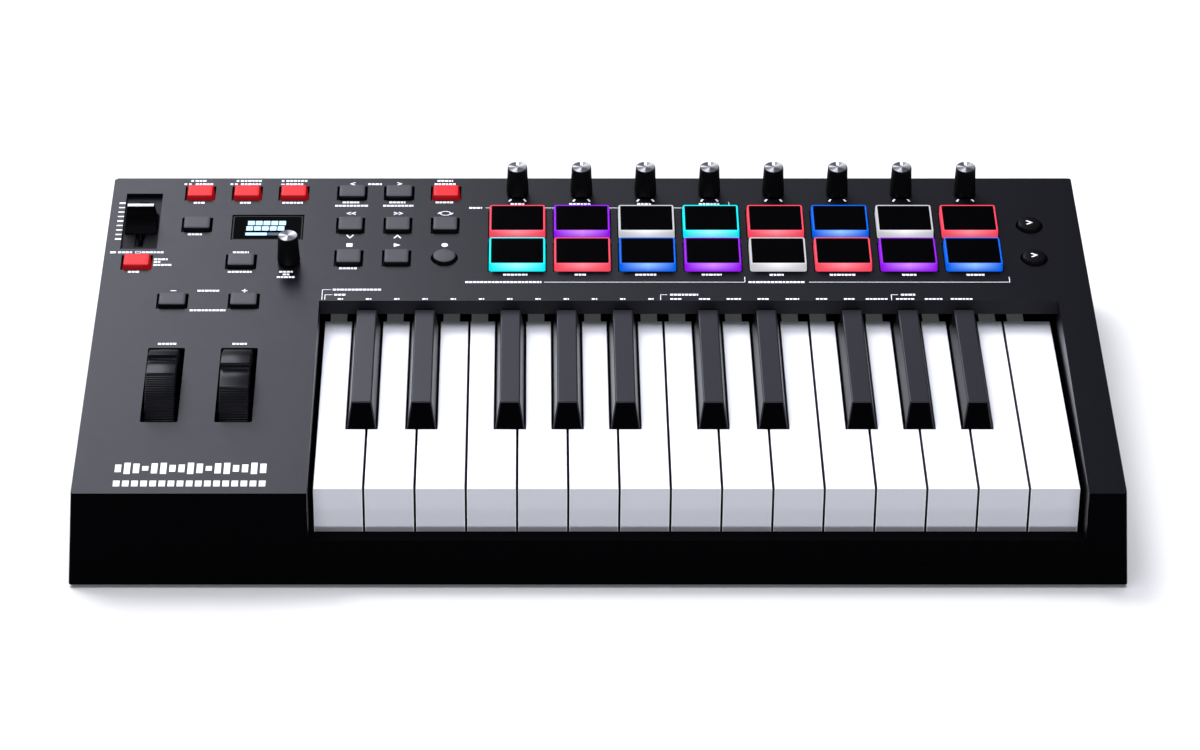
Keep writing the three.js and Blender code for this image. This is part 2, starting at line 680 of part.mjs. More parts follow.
function boardParts() {
  const switchPlaces = [...FUNCTION_BUTTONS, ...TRANSPORT_BUTTONS, RECORD_BUTTON, ...SCENE_BUTTONS];
  const root = (BOARD_HEIGHTS[0] + BOARD_HEIGHTS[1]) / 2;
  const switches = switchPlaces.map((place) =>
    panelBlock(place, [SWITCH_SIZE, SWITCH_SIZE], [root, SWITCH_TOP]),
  );
  const shafted = [...knobPlaces(), ENCODER_PLACE].flatMap(([x, y]) => [
    panelBlock([x, y], [POT_SIZE, POT_SIZE], [root, POT_TOP]),
    post(x, upSlope(y), [POT_TOP - 1, SHAFT_TOP], SHAFT_RADIUS, SHAFT_RADIUS, 16),
  ]);
  const fader = panelBlock(FADER_PLACE, FADER_BODY, [root, FADER_BODY_TOP]).subtract(
    panelBlock(FADER_PLACE, FADER_GROOVE, [FADER_GROOVE_LOW, 0]),
  );
  const board = panelAreas(BOARD_AREAS, BOARD_HEIGHTS);
  return [board, ...switches, ...shafted, fader, displayModule()];
}

function panelBoard() {
  return ontoPanel(joined(boardParts()));
}

// ---- Rear sockets ----

function socketBody({ x, body }) {
  const [width, height, depth] = body;
  return block(
    span(x, width),
    [CASE_HALF_DEPTH - depth, CASE_HALF_DEPTH - WALL / 2],
    span(SOCKET_Z, height),
  );
}

function grown([low, high], amount) {
  return [low - amount, high + amount];
}

// The plate lies flush in its bay, with a flange behind the rear wall.
function socketPlate() {
  const inner = CASE_HALF_DEPTH - WALL - FIT_GAP;
  const { x, z } = SOCKET_BAY;
  const face = block(grown(x, -FIT_GAP), [inner - 1, CASE_HALF_DEPTH], grown(z, -FIT_GAP));
  const flange = block(
    grown(x, SOCKET_PLATE_FLANGE),
    [inner - SOCKET_PLATE_REAR, inner],
    grown(z, SOCKET_PLATE_FLANGE),
  );
  return face.add(flange);
}

function rearSockets() {
  const mouth = CASE_HALF_DEPTH + 1;
  const usbCavity = block(
    span(USB_SOCKET.x, USB_SOCKET.cavity[0]),
    [CASE_HALF_DEPTH - USB_SOCKET.cavity[2], mouth],
    span(SOCKET_Z, USB_SOCKET.cavity[1]),
  );
  const round = [DIN_SOCKET, ...JACK_SOCKETS];
  const bores = round.map(({ x, radius, deep }) =>
    depthRod(x, [CASE_HALF_DEPTH - deep, mouth], SOCKET_Z, radius),
  );
  const bodies = [USB_SOCKET, ...round].map(socketBody);
  return joined([socketPlate(), ...bodies]).subtract(joined([usbCavity, ...bores]));
}

// ---- Assembly ----

function named(name, body, finish) {
  const material = new THREE.MeshStandardMaterial({ ...finish, flatShading: true });
  const mesh = new THREE.Mesh(geometryOf(body), material);
  mesh.name = name;
  return mesh;
}

function numbered(stem, index) {
  return `${stem}_${String(index + 1).padStart(2, "0")}`;
}

// A group whose own frame is the sloped top face.
function panelGroup() {
  const group = new THREE.Group();
  group.position.set(0, PANEL_FRONT_Y, PANEL_FRONT_Z);
  group.rotation.x = PANEL_TILT;
  return group;
}

function addOnPanel(group, mesh, [x, y]) {
  mesh.position.set(x, upSlope(y), 0);
  group.add(mesh);
}

function addPads(group) {
  PAD_ROWS_Y.forEach((y, row) => {
    padColumnsX().forEach((x, column) => {
      const color = PAD_COLOURS[PAD_LIGHTS[row][column]];
      const name = numbered("pad", row * PAD_COLUMNS + column);
      addOnPanel(group, named(name, pad(), { color, roughness: 0.3, metalness: 0 }), [x, y]);
    });
  });
}

function addKnobs(group) {
  knobPlaces().forEach((place, i) => {
    addOnPanel(group, named(numbered("knob", i), knob(), BLACK_PLASTIC), place);
  });
  addOnPanel(group, named("encoder_knob", knob(), BLACK_PLASTIC), ENCODER_PLACE);
}

function addWheels(group) {
  for (const [name, x] of Object.entries(WHEELS_X)) {
    const mesh = named(name, wheel(WHEEL_REST_ANGLE[name]), BLACK_PLASTIC);
    mesh.position.copy(panelPoint(x, WHEEL_Y, -WHEEL_DEPTH));
    mesh.rotation.x = PANEL_TILT;
    group.add(mesh);
  }
}

function addKeys(group) {
  whiteNumbers().forEach((i) => {
    group.add(named(numbered("white_key", i), whiteKey(i), WHITE_PLASTIC));
  });
  sharps().forEach((sharp, i) => {
    group.add(named(numbered("black_key", i), blackKey(sharp), BLACK_GLOSS));
  });
}

const keyboard = new THREE.Group();
keyboard.add(named("top_panel", topPanel(), CHARCOAL));
keyboard.add(named("bottom_case", bottomCase(), BLACK_PLASTIC));
keyboard.add(named("keybed_frame", keybedFrame(), FRAME_GREY));
keyboard.add(named("panel_board", panelBoard(), BOARD_GREEN));
keyboard.add(named("rear_sockets", rearSockets(), BLACK_PLASTIC));
addKeys(keyboard);
addWheels(keyboard);

const onTop = panelGroup();
onTop.add(named("control_keypad", controlKeypad(), GREY_SILICONE));
onTop.add(named("scene_keypad", sceneKeypad(), GREY_SILICONE));
addOnPanel(onTop, named("fader_cap", faderCap(), BLACK_PLASTIC), FADER_PLACE);
addPads(onTop);
addKnobs(onTop);
keyboard.add(onTop);

export default keyboard;
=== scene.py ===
"""The looks of a 25-key midi keyboard controller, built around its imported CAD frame.

Shapes are worked out in millimetres and scaled to metres when a piece is made.
+X is right, +Y is back, +Z is up. The top face slopes, and has a frame of its own: x, y up the
slope, and height above the face.
"""
import json
import math

import bmesh
import bpy
from mathutils import Matrix, Vector


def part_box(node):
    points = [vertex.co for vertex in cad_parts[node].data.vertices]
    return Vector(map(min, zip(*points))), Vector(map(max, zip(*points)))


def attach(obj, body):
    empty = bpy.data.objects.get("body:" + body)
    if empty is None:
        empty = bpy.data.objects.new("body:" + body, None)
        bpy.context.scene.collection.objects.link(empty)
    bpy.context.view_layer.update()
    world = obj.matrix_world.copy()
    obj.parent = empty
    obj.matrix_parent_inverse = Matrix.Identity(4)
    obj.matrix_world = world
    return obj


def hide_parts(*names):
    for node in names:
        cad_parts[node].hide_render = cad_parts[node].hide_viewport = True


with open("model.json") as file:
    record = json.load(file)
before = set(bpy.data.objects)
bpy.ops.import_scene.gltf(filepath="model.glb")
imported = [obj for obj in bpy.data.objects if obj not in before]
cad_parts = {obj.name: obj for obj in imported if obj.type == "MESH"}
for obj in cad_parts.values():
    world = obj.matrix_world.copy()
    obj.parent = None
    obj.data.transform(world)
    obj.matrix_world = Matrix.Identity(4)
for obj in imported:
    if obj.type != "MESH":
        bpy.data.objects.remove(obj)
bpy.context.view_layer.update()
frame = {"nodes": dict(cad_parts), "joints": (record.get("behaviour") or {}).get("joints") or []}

MM = 0.001
NODES = frame["nodes"]
JOINTS = {joint["name"]: joint for joint in frame["joints"]}
SCENE = bpy.context.scene

# ---- Driving dimensions, in millimetres ----
KNOB_COUNT = 8
PAD_COUNT = 16
WHITE_KEYS = 15
BLACK_KEYS = 10

TOP_ROW_Y = 114.6
TRANSPORT_ROWS_Y = (86.5, 58.7)
LEFT_COLUMNS_X = (-195.7, -172.4, -149.1)
RIGHT_COLUMNS_X = (-120.0, -96.65, -73.3)
RED_BUTTONS = [
    *((x, TOP_ROW_Y) for x in (*LEFT_COLUMNS_X, RIGHT_COLUMNS_X[2])),
    (-223.3, 55.3),
]
GREY_BUTTONS = [
    *((x, TOP_ROW_Y) for x in RIGHT_COLUMNS_X[:2]),
    (-195.7, 87.2),
    (-172.4, 55.8),
    (-203.8, 23.1),
    (-169.4, 23.1),
]
TRANSPORT_BUTTONS = [
    *((x, TRANSPORT_ROWS_Y[0]) for x in RIGHT_COLUMNS_X),
    *((x, TRANSPORT_ROWS_Y[1]) for x in RIGHT_COLUMNS_X[:2]),
]
RECORD_BUTTON = (-73.3, 59.1)
SCENE_BUTTONS = [(214.8, y) for y in TRANSPORT_ROWS_Y]
BUTTON_SIZE = (14.3, 11.4)
TRANSPORT_SIZE = (13.3, 12.6)
BUTTON_TAPER = 0.8
BUTTON_HEIGHT = 2.0
ROUND_BUTTON_RADII = (6.2, 5.4)
MAT_HEIGHTS = (-5.6, -4.4)

PAD_FLANGE = (30.4, 25.8)
PAD_BASE = (28.0, 23.4)
PAD_TOP = (27.2, 22.6)
PAD_FILM = (25.5, 20.5)
PAD_HEIGHT = 4.1
PAD_LIT_FROM = -0.4
PAD_LIGHTS = (
    ("red", "purple", "white", "cyan", "red", "blue", "white", "red"),
    ("cyan", "red", "blue", "purple", "white", "red", "purple", "blue"),
)

KNOB_FOOT = 0.8
KNOB_HEIGHT = 15.7
KNOB_RADII = (5.6, 4.95)
KNOB_FLUTES = 36

FADER_CAP_HEIGHTS = (-1.6, 9.6)
FADER_CAP_WIDTHS = (16.2, 13.6)
FADER_CAP_DEPTHS = (17.0, 2.4)
FADER_STEM = (1.4, 4)
FADER_STEM_FOOT = -9.2
RIDGE_LINES = ((0.35, 1.15), (-0.8, 0.4))  # offset from the ridge's middle, and breadth

WHEEL_RADIUS = 30.5
WHEEL_WIDTH = 13.8
WHEEL_JOINTS = {"pitch_wheel": "pitch_wheel_bend", "mod_wheel": "mod_wheel_turn"}
WHEEL_NOTCHES = {"pitch_wheel": 0.0, "mod_wheel": -14.0}  # degrees from the top, minus is forward
NOTCH_EDGE = 13.5
NOTCH_DEPTH = 2.6
SCOOP_FOOT = 8.5

DISPLAY_PLACE = (-160.9, 85.3)
DISPLAY_FLANGE = (38.0, 24.0)
DISPLAY_LENS = (34.8, 20.7)
DISPLAY_HEIGHTS = (-3.8, -0.4)

SOCKET_Z = 45.0
SOCKET_FACE_Y = 128.0
USB_X = -205.0
DIN_X = -172.0
JACKS_X = (-138.0, -112.0)

FEET = [(x, y) for x in (-215, 0, 215) for y in (-105, 105)]
CASE_SCREWS = [(x, y) for x in (-232.5, 232.5) for y in (-118, -20, 118)]


# ---- The sloped top face ----


def panel_frame():
    """The frame of the top face, with its origin over the middle of the footprint."""
    faces = [face for face in NODES["top_panel"].data.polygons if face.normal.z > 0.9]
    largest = max(faces, key=lambda face: face.area)
    tilt = math.atan2(-largest.normal.y, largest.normal.z)
    height = largest.center.z - math.tan(tilt) * largest.center.y
    return Matrix.Translation((0, 0, height)) @ Matrix.Rotation(tilt, 4, "X"), tilt


PANEL, PANEL_TILT = panel_frame()


def up_slope(y):
    """The panel frame's y for a plan y."""
    return y / math.cos(PANEL_TILT)


def on_panel(x, y, height=0.0):
    """The matrix of a piece that stands on the top face at a plan place."""
    return PANEL @ Matrix.Translation(Vector((x, up_slope(y), height)) * MM)


def panel_box(node):
    """A CAD node's lowest and highest corner in the panel's frame, in millimetres."""
    inverse = PANEL.inverted()
    points = [inverse @ v.co / MM for v in NODES[node].data.vertices]
    low = Vector([min(p[i] for p in points) for i in range(3)])
    high = Vector([max(p[i] for p in points) for i in range(3)])
    return low, high


def standing_place(node):
    """The matrix of a piece that stands for a control on the top face."""
    low, high = panel_box(node)
    middle = (low + high) / 2
    return PANEL @ Matrix.Translation(Vector((middle.x, middle.y, 0)) * MM)


# ---- Materials ----

# Painted highlights in a turned disc's colour: places are turns, from the left and on over the
# front.
PAINTED_DISC_GLINTS = (
    (0.0, 0.3), (0.06, 0.18), (0.12, 0.5), (0.17, 0.85), (0.22, 0.6), (0.26, 0.08), (0.38, 0.05),
    (0.5, 0.25), (0.62, 0.65), (0.7, 0.3), (0.8, 0.07), (0.9, 0.12), (1.0, 0.3),
)


def new_material(name):
    material = bpy.data.materials.new(name)
    material.use_nodes = True
    tree = material.node_tree
    return material, tree.nodes, tree.links, tree.nodes["Principled BSDF"]


def noise(nodes, links, scale, detail=2.0):
    """A noise value over the piece's own coordinates."""
    coordinates = nodes.new("ShaderNodeTexCoord")
    texture = nodes.new("ShaderNodeTexNoise")
    texture.inputs["Scale"].default_value = scale
    texture.inputs["Detail"].default_value = detail
    links.new(coordinates.outputs["Object"], texture.inputs["Vector"])
    return texture.outputs["Fac"]


def mapped(nodes, links, value, low, high, from_low=0.3, from_high=0.7):
    """A value moved from one range to another, and held within it."""
    node = nodes.new("ShaderNodeMapRange")
    node.inputs["From Min"].default_value = from_low
    node.inputs["From Max"].default_value = from_high
    node.inputs["To Min"].default_value = low
    node.inputs["To Max"].default_value = high
    links.new(value, node.inputs["Value"])
    return node.outputs["Result"]


def mixed(nodes, links, factor, first, second):
    """A colour between two, by a factor."""
    node = nodes.new("ShaderNodeMix")
    node.data_type = "RGBA"
    links.new(factor, node.inputs["Factor"])
    for socket, colour in ((node.inputs[6], first), (node.inputs[7], second)):
        if isinstance(colour, tuple):
            socket.default_value = (*colour, 1)
        else:
            links.new(colour, socket)
    return node.outputs[2]


def bumped(nodes, links, shader, grain, depth):
    """A fine surface grain: its size and depth in mm."""
    bump = nodes.new("ShaderNodeBump")
    bump.inputs["Distance"].default_value = depth * MM
    links.new(noise(nodes, links, 1 / (grain * MM), 1), bump.inputs["Height"])
    links.new(bump.outputs["Normal"], shader.inputs["Normal"])


def split_coordinates(nodes, links, kind):
    """The x, y and z of a kind of coordinate, by name."""
    coordinates = nodes.new("ShaderNodeTexCoord")
    split = nodes.new("ShaderNodeSeparateXYZ")
    links.new(coordinates.outputs[kind], split.inputs["Vector"])
    return split.outputs


def product(nodes, links, first, second):
    """Two values multiplied."""
    node = nodes.new("ShaderNodeMath")
    node.operation = "MULTIPLY"
    links.new(first, node.inputs[0])
    links.new(second, node.inputs[1])
    return node.outputs[0]


def scaled(colour, factor):
    return tuple(min(1.0, channel * factor) for channel in colour)


def moulded(name, colour, roughness, grain=0.35, depth=0.012, mottle=0.05, wear=0.0, specular=0.5):
    """Moulded plastic or rubber: a fine surface grain (in mm), slight mottling, and worn edges."""
    material, nodes, links, shader = new_material(name)
    shader.inputs["Specular IOR Level"].default_value = specular
    cloud = noise(nodes, links, 45, 3)
    shade = mixed(nodes, links, cloud, scaled(colour, 1 - mottle), scaled(colour, 1 + mottle))
    if wear:
        geometry = nodes.new("ShaderNodeNewGeometry")
        edge = mapped(nodes, links, geometry.outputs["Pointiness"], 0, wear, 0.52, 0.62)
        shade = mixed(nodes, links, edge, shade, scaled(colour, 2.2))
    links.new(shade, shader.inputs["Base Color"])
    smear = noise(nodes, links, 160, 4)
    rough = mapped(nodes, links, smear, roughness - 0.012, roughness + 0.012)
    links.new(rough, shader.inputs["Roughness"])
    bumped(nodes, links, shader, grain, depth)
    return material


def glowing(material, strength):
    """Adds an even light of the material's own. Its strength is chosen for the look."""
    shader = material.node_tree.nodes["Principled BSDF"]
    shader.inputs["Emission Color"].default_value = (0.92, 0.95, 1, 1)
    shader.inputs["Emission Strength"].default_value = strength
    return material


def metal(name, colour, roughness):
    """Plated metal, a little cloudy."""
    material, nodes, links, shader = new_material(name)
    shader.inputs["Metallic"].default_value = 1
    cloud = noise(nodes, links, 700, 3)
    shade = mixed(nodes, links, cloud, scaled(colour, 0.85), scaled(colour, 1.05))
    links.new(shade, shader.inputs["Base Color"])
    rough = mapped(nodes, links, cloud, roughness - 0.05, roughness + 0.06)
    links.new(rough, shader.inputs["Roughness"])
    return material


def spun_metal(name):
    """A turned disc: fine rings round its own axis, and highlights painted into its colour round
    the disc.
    """
    material, nodes, links, shader = new_material(name)
    shader.inputs["Metallic"].default_value = 0.5
    shader.inputs["Anisotropic"].default_value = 0.6
    coordinates = nodes.new("ShaderNodeTexCoord")
    glint_angle = nodes.new("ShaderNodeTexGradient")
    glint_angle.gradient_type = "RADIAL"
    links.new(coordinates.outputs["Object"], glint_angle.inputs["Vector"])
    # Painted highlights: brightness by angle round the disc, put into the base colour.
    ramp = nodes.new("ShaderNodeValToRGB")
    ramp.color_ramp.interpolation = "EASE"
    for position, brightness in PAINTED_DISC_GLINTS:
        stop = ramp.color_ramp.elements.new(position)
        stop.color = (brightness, brightness, 1.02 * brightness, 1)
    ramp.color_ramp.elements.remove(ramp.color_ramp.elements[0])
    ramp.color_ramp.elements.remove(ramp.color_ramp.elements[-1])
    links.new(glint_angle.outputs["Fac"], ramp.inputs["Fac"])
    links.new(ramp.outputs["Color"], shader.inputs["Base Color"])
    cloud = noise(nodes, links, 900, 2)
    links.new(mapped(nodes, links, cloud, 0.3, 0.4), shader.inputs["Roughness"])
    tangent = nodes.new("ShaderNodeTangent")
    tangent.direction_type = "RADIAL"
    tangent.axis = "Z"
    links.new(tangent.outputs["Tangent"], shader.inputs["Tangent"])
    return material


GLOW_RISE = 3.2


def lit_silicone(name, rim, core, half_width, front_wall, strength, body=0.3):
    """Translucent silicone lit from inside, brightest in the middle of its front wall (in mm)."""
    material, nodes, links, shader = new_material(name)
    shader.inputs["Specular IOR Level"].default_value = 0.25
    place = split_coordinates(nodes, links, "Object")
    distance = nodes.new("ShaderNodeMath")
    distance.operation = "ABSOLUTE"
    links.new(place["X"], distance.inputs[0])
    across = mapped(nodes, links, distance.outputs[0], 1, 0, 0, half_width * MM)
    up = mapped(nodes, links, place["Z"], 0.1, 1, 0, GLOW_RISE * MM)
    front = mapped(nodes, links, place["Y"], 1, 0, -front_wall * MM, (2 - front_wall) * MM)
    swell = product(nodes, links, product(nodes, links, across, up), front)
    speckle = noise(nodes, links, 900, 2)
    uneven = product(nodes, links, swell, mapped(nodes, links, speckle, 0.9, 1.0))
    glow = mixed(nodes, links, uneven, rim, core)
    links.new(glow, shader.inputs["Emission Color"])
    shader.inputs["Emission Strength"].default_value = strength
    shade = mixed(nodes, links, speckle, scaled(rim, body * 0.85), scaled(rim, body))
    links.new(shade, shader.inputs["Base Color"])
    links.new(mapped(nodes, links, speckle, 0.36, 0.46), shader.inputs["Roughness"])
    bumped(nodes, links, shader, 1 / 3, 0.01)
    return material


def lit_pixels(name, colour, strength):
    """The glowing dots of the display."""
    material, nodes, links, shader = new_material(name)
    grid = noise(nodes, links, 2500, 0)
    glow = mixed(nodes, links, grid, scaled(colour, 0.8), colour)
    links.new(glow, shader.inputs["Emission Color"])
    shader.inputs["Emission Strength"].default_value = strength
    shade = mixed(nodes, links, grid, scaled(colour, 0.2), scaled(colour, 0.3))
    links.new(shade, shader.inputs["Base Color"])
    links.new(mapped(nodes, links, grid, 0.4, 0.5), shader.inputs["Roughness"])
    return material


PANEL_PLASTIC = moulded("panel plastic", (0.002, 0.002, 0.003), 0.36, depth=0.01, wear=0.5)
# Painted shade: a duller copy of the panel plastic, with less reflection, for the fader pocket's
# floor.
SHADED_POCKET_PLASTIC = moulded("pocket plastic painted shade", (0.003, 0.003, 0.0036), 0.45, depth=0.02, specular=0.2)
FASCIA_PLASTIC = moulded(
    "fascia plastic", (0.01, 0.01, 0.0125), 0.6, grain=0.9, depth=0.05, specular=0.16
)
# Painted shade: a darker copy with almost no reflection, for faces that look forward or sideways.
SHADED_FRONT_PLASTIC = moulded("front plastic painted shade", (0.0009, 0.0009, 0.0012), 0.4, wear=0.2, specular=0.006)
CASE_PLASTIC = moulded("case plastic", (0.005, 0.005, 0.006), 0.5, wear=0.3, specular=0.2)
FRAME_PLASTIC = moulded("frame plastic", (0.008, 0.008, 0.009), 0.55)
# Painted light: the white keys glow faintly, though no lamp is in them, to lift their fronts and
# shade.
GLOWING_WHITE_KEY = glowing(
    moulded("white key plastic with painted glow", (0.8, 0.8, 0.81), 0.2, grain=2.5, depth=0.003, mottle=0.01), 0.05
)
# Painted highlight: the white keys' rounded front corners are lighter and glow, as bright edge
# lines.
KEY_EDGE_HIGHLIGHT = glowing(
    moulded("white key painted edge highlight", (0.85, 0.85, 0.87), 0.15, grain=2.5, depth=0.002, mottle=0.01), 0.35
)
# Painted shade: the white keys' flat sides are grey, to darken the gaps between the keys.
SHADED_KEY_FLANK = moulded("key flank painted shade", (0.16, 0.16, 0.17), 0.4, grain=1.5, depth=0.003)
# Black key tops and upward rounded edges: a satin finish, made lighter as painted light on them.
BLACK_KEY_SATIN_LIT = moulded(
    "black key satin lit", (0.015, 0.015, 0.018), 0.34, grain=0.5, depth=0.004, wear=0.3
)
# Black key flanks and fronts: a darker copy with almost no reflection, as painted shade.
BLACK_KEY_SHADED = moulded(
    "black key painted shade", (0.001, 0.001, 0.0013), 0.14, grain=0.8, depth=0.002, specular=0.008
)
CAP_PLASTIC = moulded(
    "fader cap plastic", (0.0018, 0.0018, 0.002), 0.3, grain=0.25, wear=0.3, specular=0.025
)
KNOB_PLASTIC = moulded(
    "knob plastic", (0.003, 0.003, 0.0035), 0.36, grain=0.25, wear=0.3, specular=0.2
)
WHEEL_RUBBER = moulded(
    "wheel rubber", (0.003, 0.003, 0.0038), 0.3, grain=0.25, wear=0.5, specular=0.36
)
GREY_SILICONE = moulded("grey silicone", (0.046, 0.046, 0.05), 0.5, grain=0.2, wear=0.2)
DARK_SILICONE = moulded("dark silicone", (0.01, 0.01, 0.011), 0.42, grain=0.2, wear=0.3)
BLACK_SILICONE = moulded(
    "black silicone", (0.003, 0.003, 0.0035), 0.38, grain=0.2, wear=0.3, specular=0.2
)
PAD_FILM_BLACK = moulded(
    "pad film", (0.001, 0.001, 0.0012), 0.25, grain=0.2, depth=0.003, specular=0.004
)
LENS_BLACK = moulded(
    "display lens", (0.001, 0.001, 0.0013), 0.12, grain=3, depth=0.001, specular=0.004
)
FOOT_RUBBER = moulded("foot rubber", (0.02, 0.02, 0.02), 0.8, grain=0.5, depth=0.05)
SOCKET_PLASTIC = moulded("socket plastic", (0.012, 0.012, 0.013), 0.45)
BOARD_GREEN = moulded("circuit board", (0.02, 0.09, 0.05), 0.45, grain=1.2, depth=0.01, mottle=0.25)
PRINT_WHITE = moulded("white print", (0.85, 0.85, 0.87), 0.5, grain=0.3, depth=0.004, mottle=0.04)
SPUN_SILVER = spun_metal("spun silver")
NICKEL = metal("nickel", (0.62, 0.62, 0.64), 0.25)
SCREW_STEEL = metal("screw steel", (0.12, 0.12, 0.125), 0.35)
GOLD = metal("contact gold", (0.85, 0.62, 0.28), 0.25)
DISPLAY_PIXELS = lit_pixels("display pixels", (0.5, 0.78, 1.0), 1.25)
DISPLAY_DIM_PIXELS = lit_pixels("dim display pixels", (0.05, 0.08, 0.11), 1.0)

PAD_RIMS = {
    "red": (1.0, 0.07, 0.12),
    "purple": (0.32, 0.008, 0.88),
    "white": (0.6, 0.6, 0.63),
    "cyan": (0.0, 0.95, 1.0),
    "blue": (0.0, 0.13, 0.85),
}
PAD_CORES = {
    "red": (1.2, 0.42, 0.5),
    "purple": (0.95, 0.42, 1.4),
    "white": (1.25, 1.25, 1.27),
    "cyan": (0.62, 1.25, 1.25),
    "blue": (0.5, 0.85, 1.4),
}
PAD_GLOW = {
    colour: lit_silicone(f"lit pad {colour}", PAD_RIMS[colour], PAD_CORES[colour], 13, 11.6, 0.8)
    for colour in PAD_RIMS
}
RED_BUTTON_GLOW = lit_silicone(
    "lit red button", (0.95, 0.022, 0.028), (1.05, 0.06, 0.065), 8, 5, 0.62
)
# Painted shade: a darker, dimmer copy of the lit red silicone for the red buttons' sides.
RED_SHADED_SKIRT = lit_silicone("red button shaded skirt", (0.42, 0.006, 0.01), (0.5, 0.01, 0.014), 8, 6, 0.5)


# ---- Mesh making ----


def circle(radius, z, count=48, middle=(0.0, 0.0)):
    """A closed loop of points on a circle."""
    turn = 2 * math.pi / count
    return [
        (middle[0] + radius * math.cos(i * turn), middle[1] + radius * math.sin(i * turn), z)
        for i in range(count)
    ]


def rounded_rectangle(width, depth, corner, z, steps=6, middle=(0.0, 0.0)):
    """A closed loop of points round a rectangle with round corners."""
    points = []
    for quarter, (sx, sy) in enumerate(((1, 1), (-1, 1), (-1, -1), (1, -1))):
        for step in range(steps + 1):
            angle = (quarter + step / steps) * math.pi / 2
            x = sx * (width / 2 - corner) + corner * math.cos(angle)
            y = sy * (depth / 2 - corner) + corner * math.sin(angle)
            points.append((middle[0] + x, middle[1] + y, z))
    return points


def skin(bm, loops, bands=None):
    """Skins a row of closed loops and caps both ends. bands gives each band's material number."""
    rings = [[bm.verts.new(point) for point in loop] for loop in loops]
    count = len(rings[0])
    for band, (low, high) in enumerate(zip(rings, rings[1:])):
        for i in range(count):
            j = (i + 1) % count
            face = bm.faces.new((low[i], low[j], high[j], high[i]))
            face.material_index = bands[band] if bands else 0
    bm.faces.new(rings[0][::-1]).material_index = bands[0] if bands else 0
    bm.faces.new(rings[-1]).material_index = bands[-1] if bands else 0


def stepped(bm, rows, bands=None):
    """Skins rounded rectangles, each given as width, depth, corner and height."""
    skin(bm, [rounded_rectangle(*row) for row in rows], bands)


def prism(bm, outline, low, high):
    """A flat outline of (x, y) points raised between two heights."""
    skin(bm, [[(x, y, z) for x, y in outline] for z in (low, high)])


FLAT_AREA = 60  # mm²


def sharpen(bm, limit):
    """Smooth small faces and flat large ones, with edges kept sharp over limit degrees."""
    for face in bm.faces:
        face.smooth = face.calc_area() < FLAT_AREA
    for edge in bm.edges:
        if len(edge.link_faces) == 2 and edge.calc_face_angle(0) > math.radians(limit):
            edge.smooth = False


def piece_from(bm, name, body, materials, matrix=None, replaces=(), sharp=38):
    """Makes a riding piece from a mesh in millimetres."""
    bmesh.ops.recalc_face_normals(bm, faces=bm.faces)
    sharpen(bm, sharp)
    bm.transform(Matrix.Scale(MM, 4))
    mesh = bpy.data.meshes.new(name)
    bm.to_mesh(mesh)
    bm.free()
    for material in materials:
        mesh.materials.append(material)
    piece = bpy.data.objects.new(name, mesh)
    SCENE.collection.objects.link(piece)
    piece.matrix_world = matrix or Matrix.Identity(4)
    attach(piece, body)
    if replaces:
        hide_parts(*replaces)
    return piece


def weigh_normals(piece):
    """Keeps large faces flat beside their rounded edges."""
    modifier = piece.modifiers.new("flat faces", "WEIGHTED_NORMAL")
    modifier.keep_sharp = True
    modifier.weight = 80


def clean_copy(node):
    """A CAD node's mesh in millimetres, with its flat faces whole."""
    bm = bmesh.new()
    bm.from_mesh(NODES[node].data)
    bm.transform(Matrix.Scale(1 / MM, 4))
    bmesh.ops.remove_doubles(bm, verts=bm.verts, dist=1e-3)
    bmesh.ops.dissolve_limit(bm, angle_limit=math.radians(0.4), verts=bm.verts, edges=bm.edges)
    bmesh.ops.recalc_face_normals(bm, faces=bm.faces)
    return bm


def on_the_panel(node):
    """A CAD node's mesh in millimetres, in the frame of the top face."""
    bm = clean_copy(node)
    bm.transform(Matrix.Scale(MM, 4))
    bm.transform(PANEL.inverted())
    bm.transform(Matrix.Scale(1 / MM, 4))
    return bm


def middle_of(edge):
    return (edge.verts[0].co + edge.verts[1].co) / 2


def upright(edge):
    along = (edge.verts[0].co - edge.verts[1].co).normalized()
    return len(edge.link_faces) == 2 and abs(along.z) > 0.93


def outer_edges(bm, wanted, least_turn=25):
    """Convex edges that turn more than least_turn degrees and are wanted by their middle."""
    found = []
    for edge in bm.edges:
        if len(edge.link_faces) != 2 or not edge.is_convex:
            continue
        if edge.calc_face_angle(0) < math.radians(least_turn):
            continue
        if wanted(middle_of(edge)):
            found.append(edge)
    return found


def round_edges(bm, edges, radius, segments=3):
    """Rounds some edges and returns the new faces."""
    made = bmesh.ops.bevel(
        bm,
        geom=edges,
        offset=radius,
        offset_type="OFFSET",
        segments=segments,
        profile=0.5,
        affect="EDGES",
        clamp_overlap=True,
        material=-1,
    )
    return set(made["faces"])


def numbered(stem, index):
    return f"{stem}_{index + 1:02d}"


# ---- Casing ----

CASE_CORNER = 1.5
SLOT_CORNER = 1.0


def round_case_corners(bm):
    """Rounds the casing's four upright corners."""

    def at_corner(edge):
        middle = middle_of(edge)
        return edge.is_convex and abs(middle.x) > 236 and abs(middle.y) > 120

    corners = [edge for edge in bm.edges if upright(edge) and at_corner(edge)]
    round_edges(bm, corners, CASE_CORNER, 5)


def round_slot_corners(bm):
    """Rounds the corners of the two wheel slots."""
    reach_x, reach_y = WHEEL_WIDTH / 2 + 3, WHEEL_RADIUS + 3
    wheels = [JOINTS[joint]["pos_m"] for joint in WHEEL_JOINTS.values()]

    def at_corner(edge):
        middle = middle_of(edge)
        if edge.is_convex or middle.z < 40:
            return False
        return any(
            abs(middle.x - x / MM) < reach_x and abs(middle.y - y / MM) < reach_y
            for x, y, _ in wheels
        )

    corners = [edge for edge in bm.edges if upright(edge) and at_corner(edge)]
    round_edges(bm, corners, SLOT_CORNER, 4)


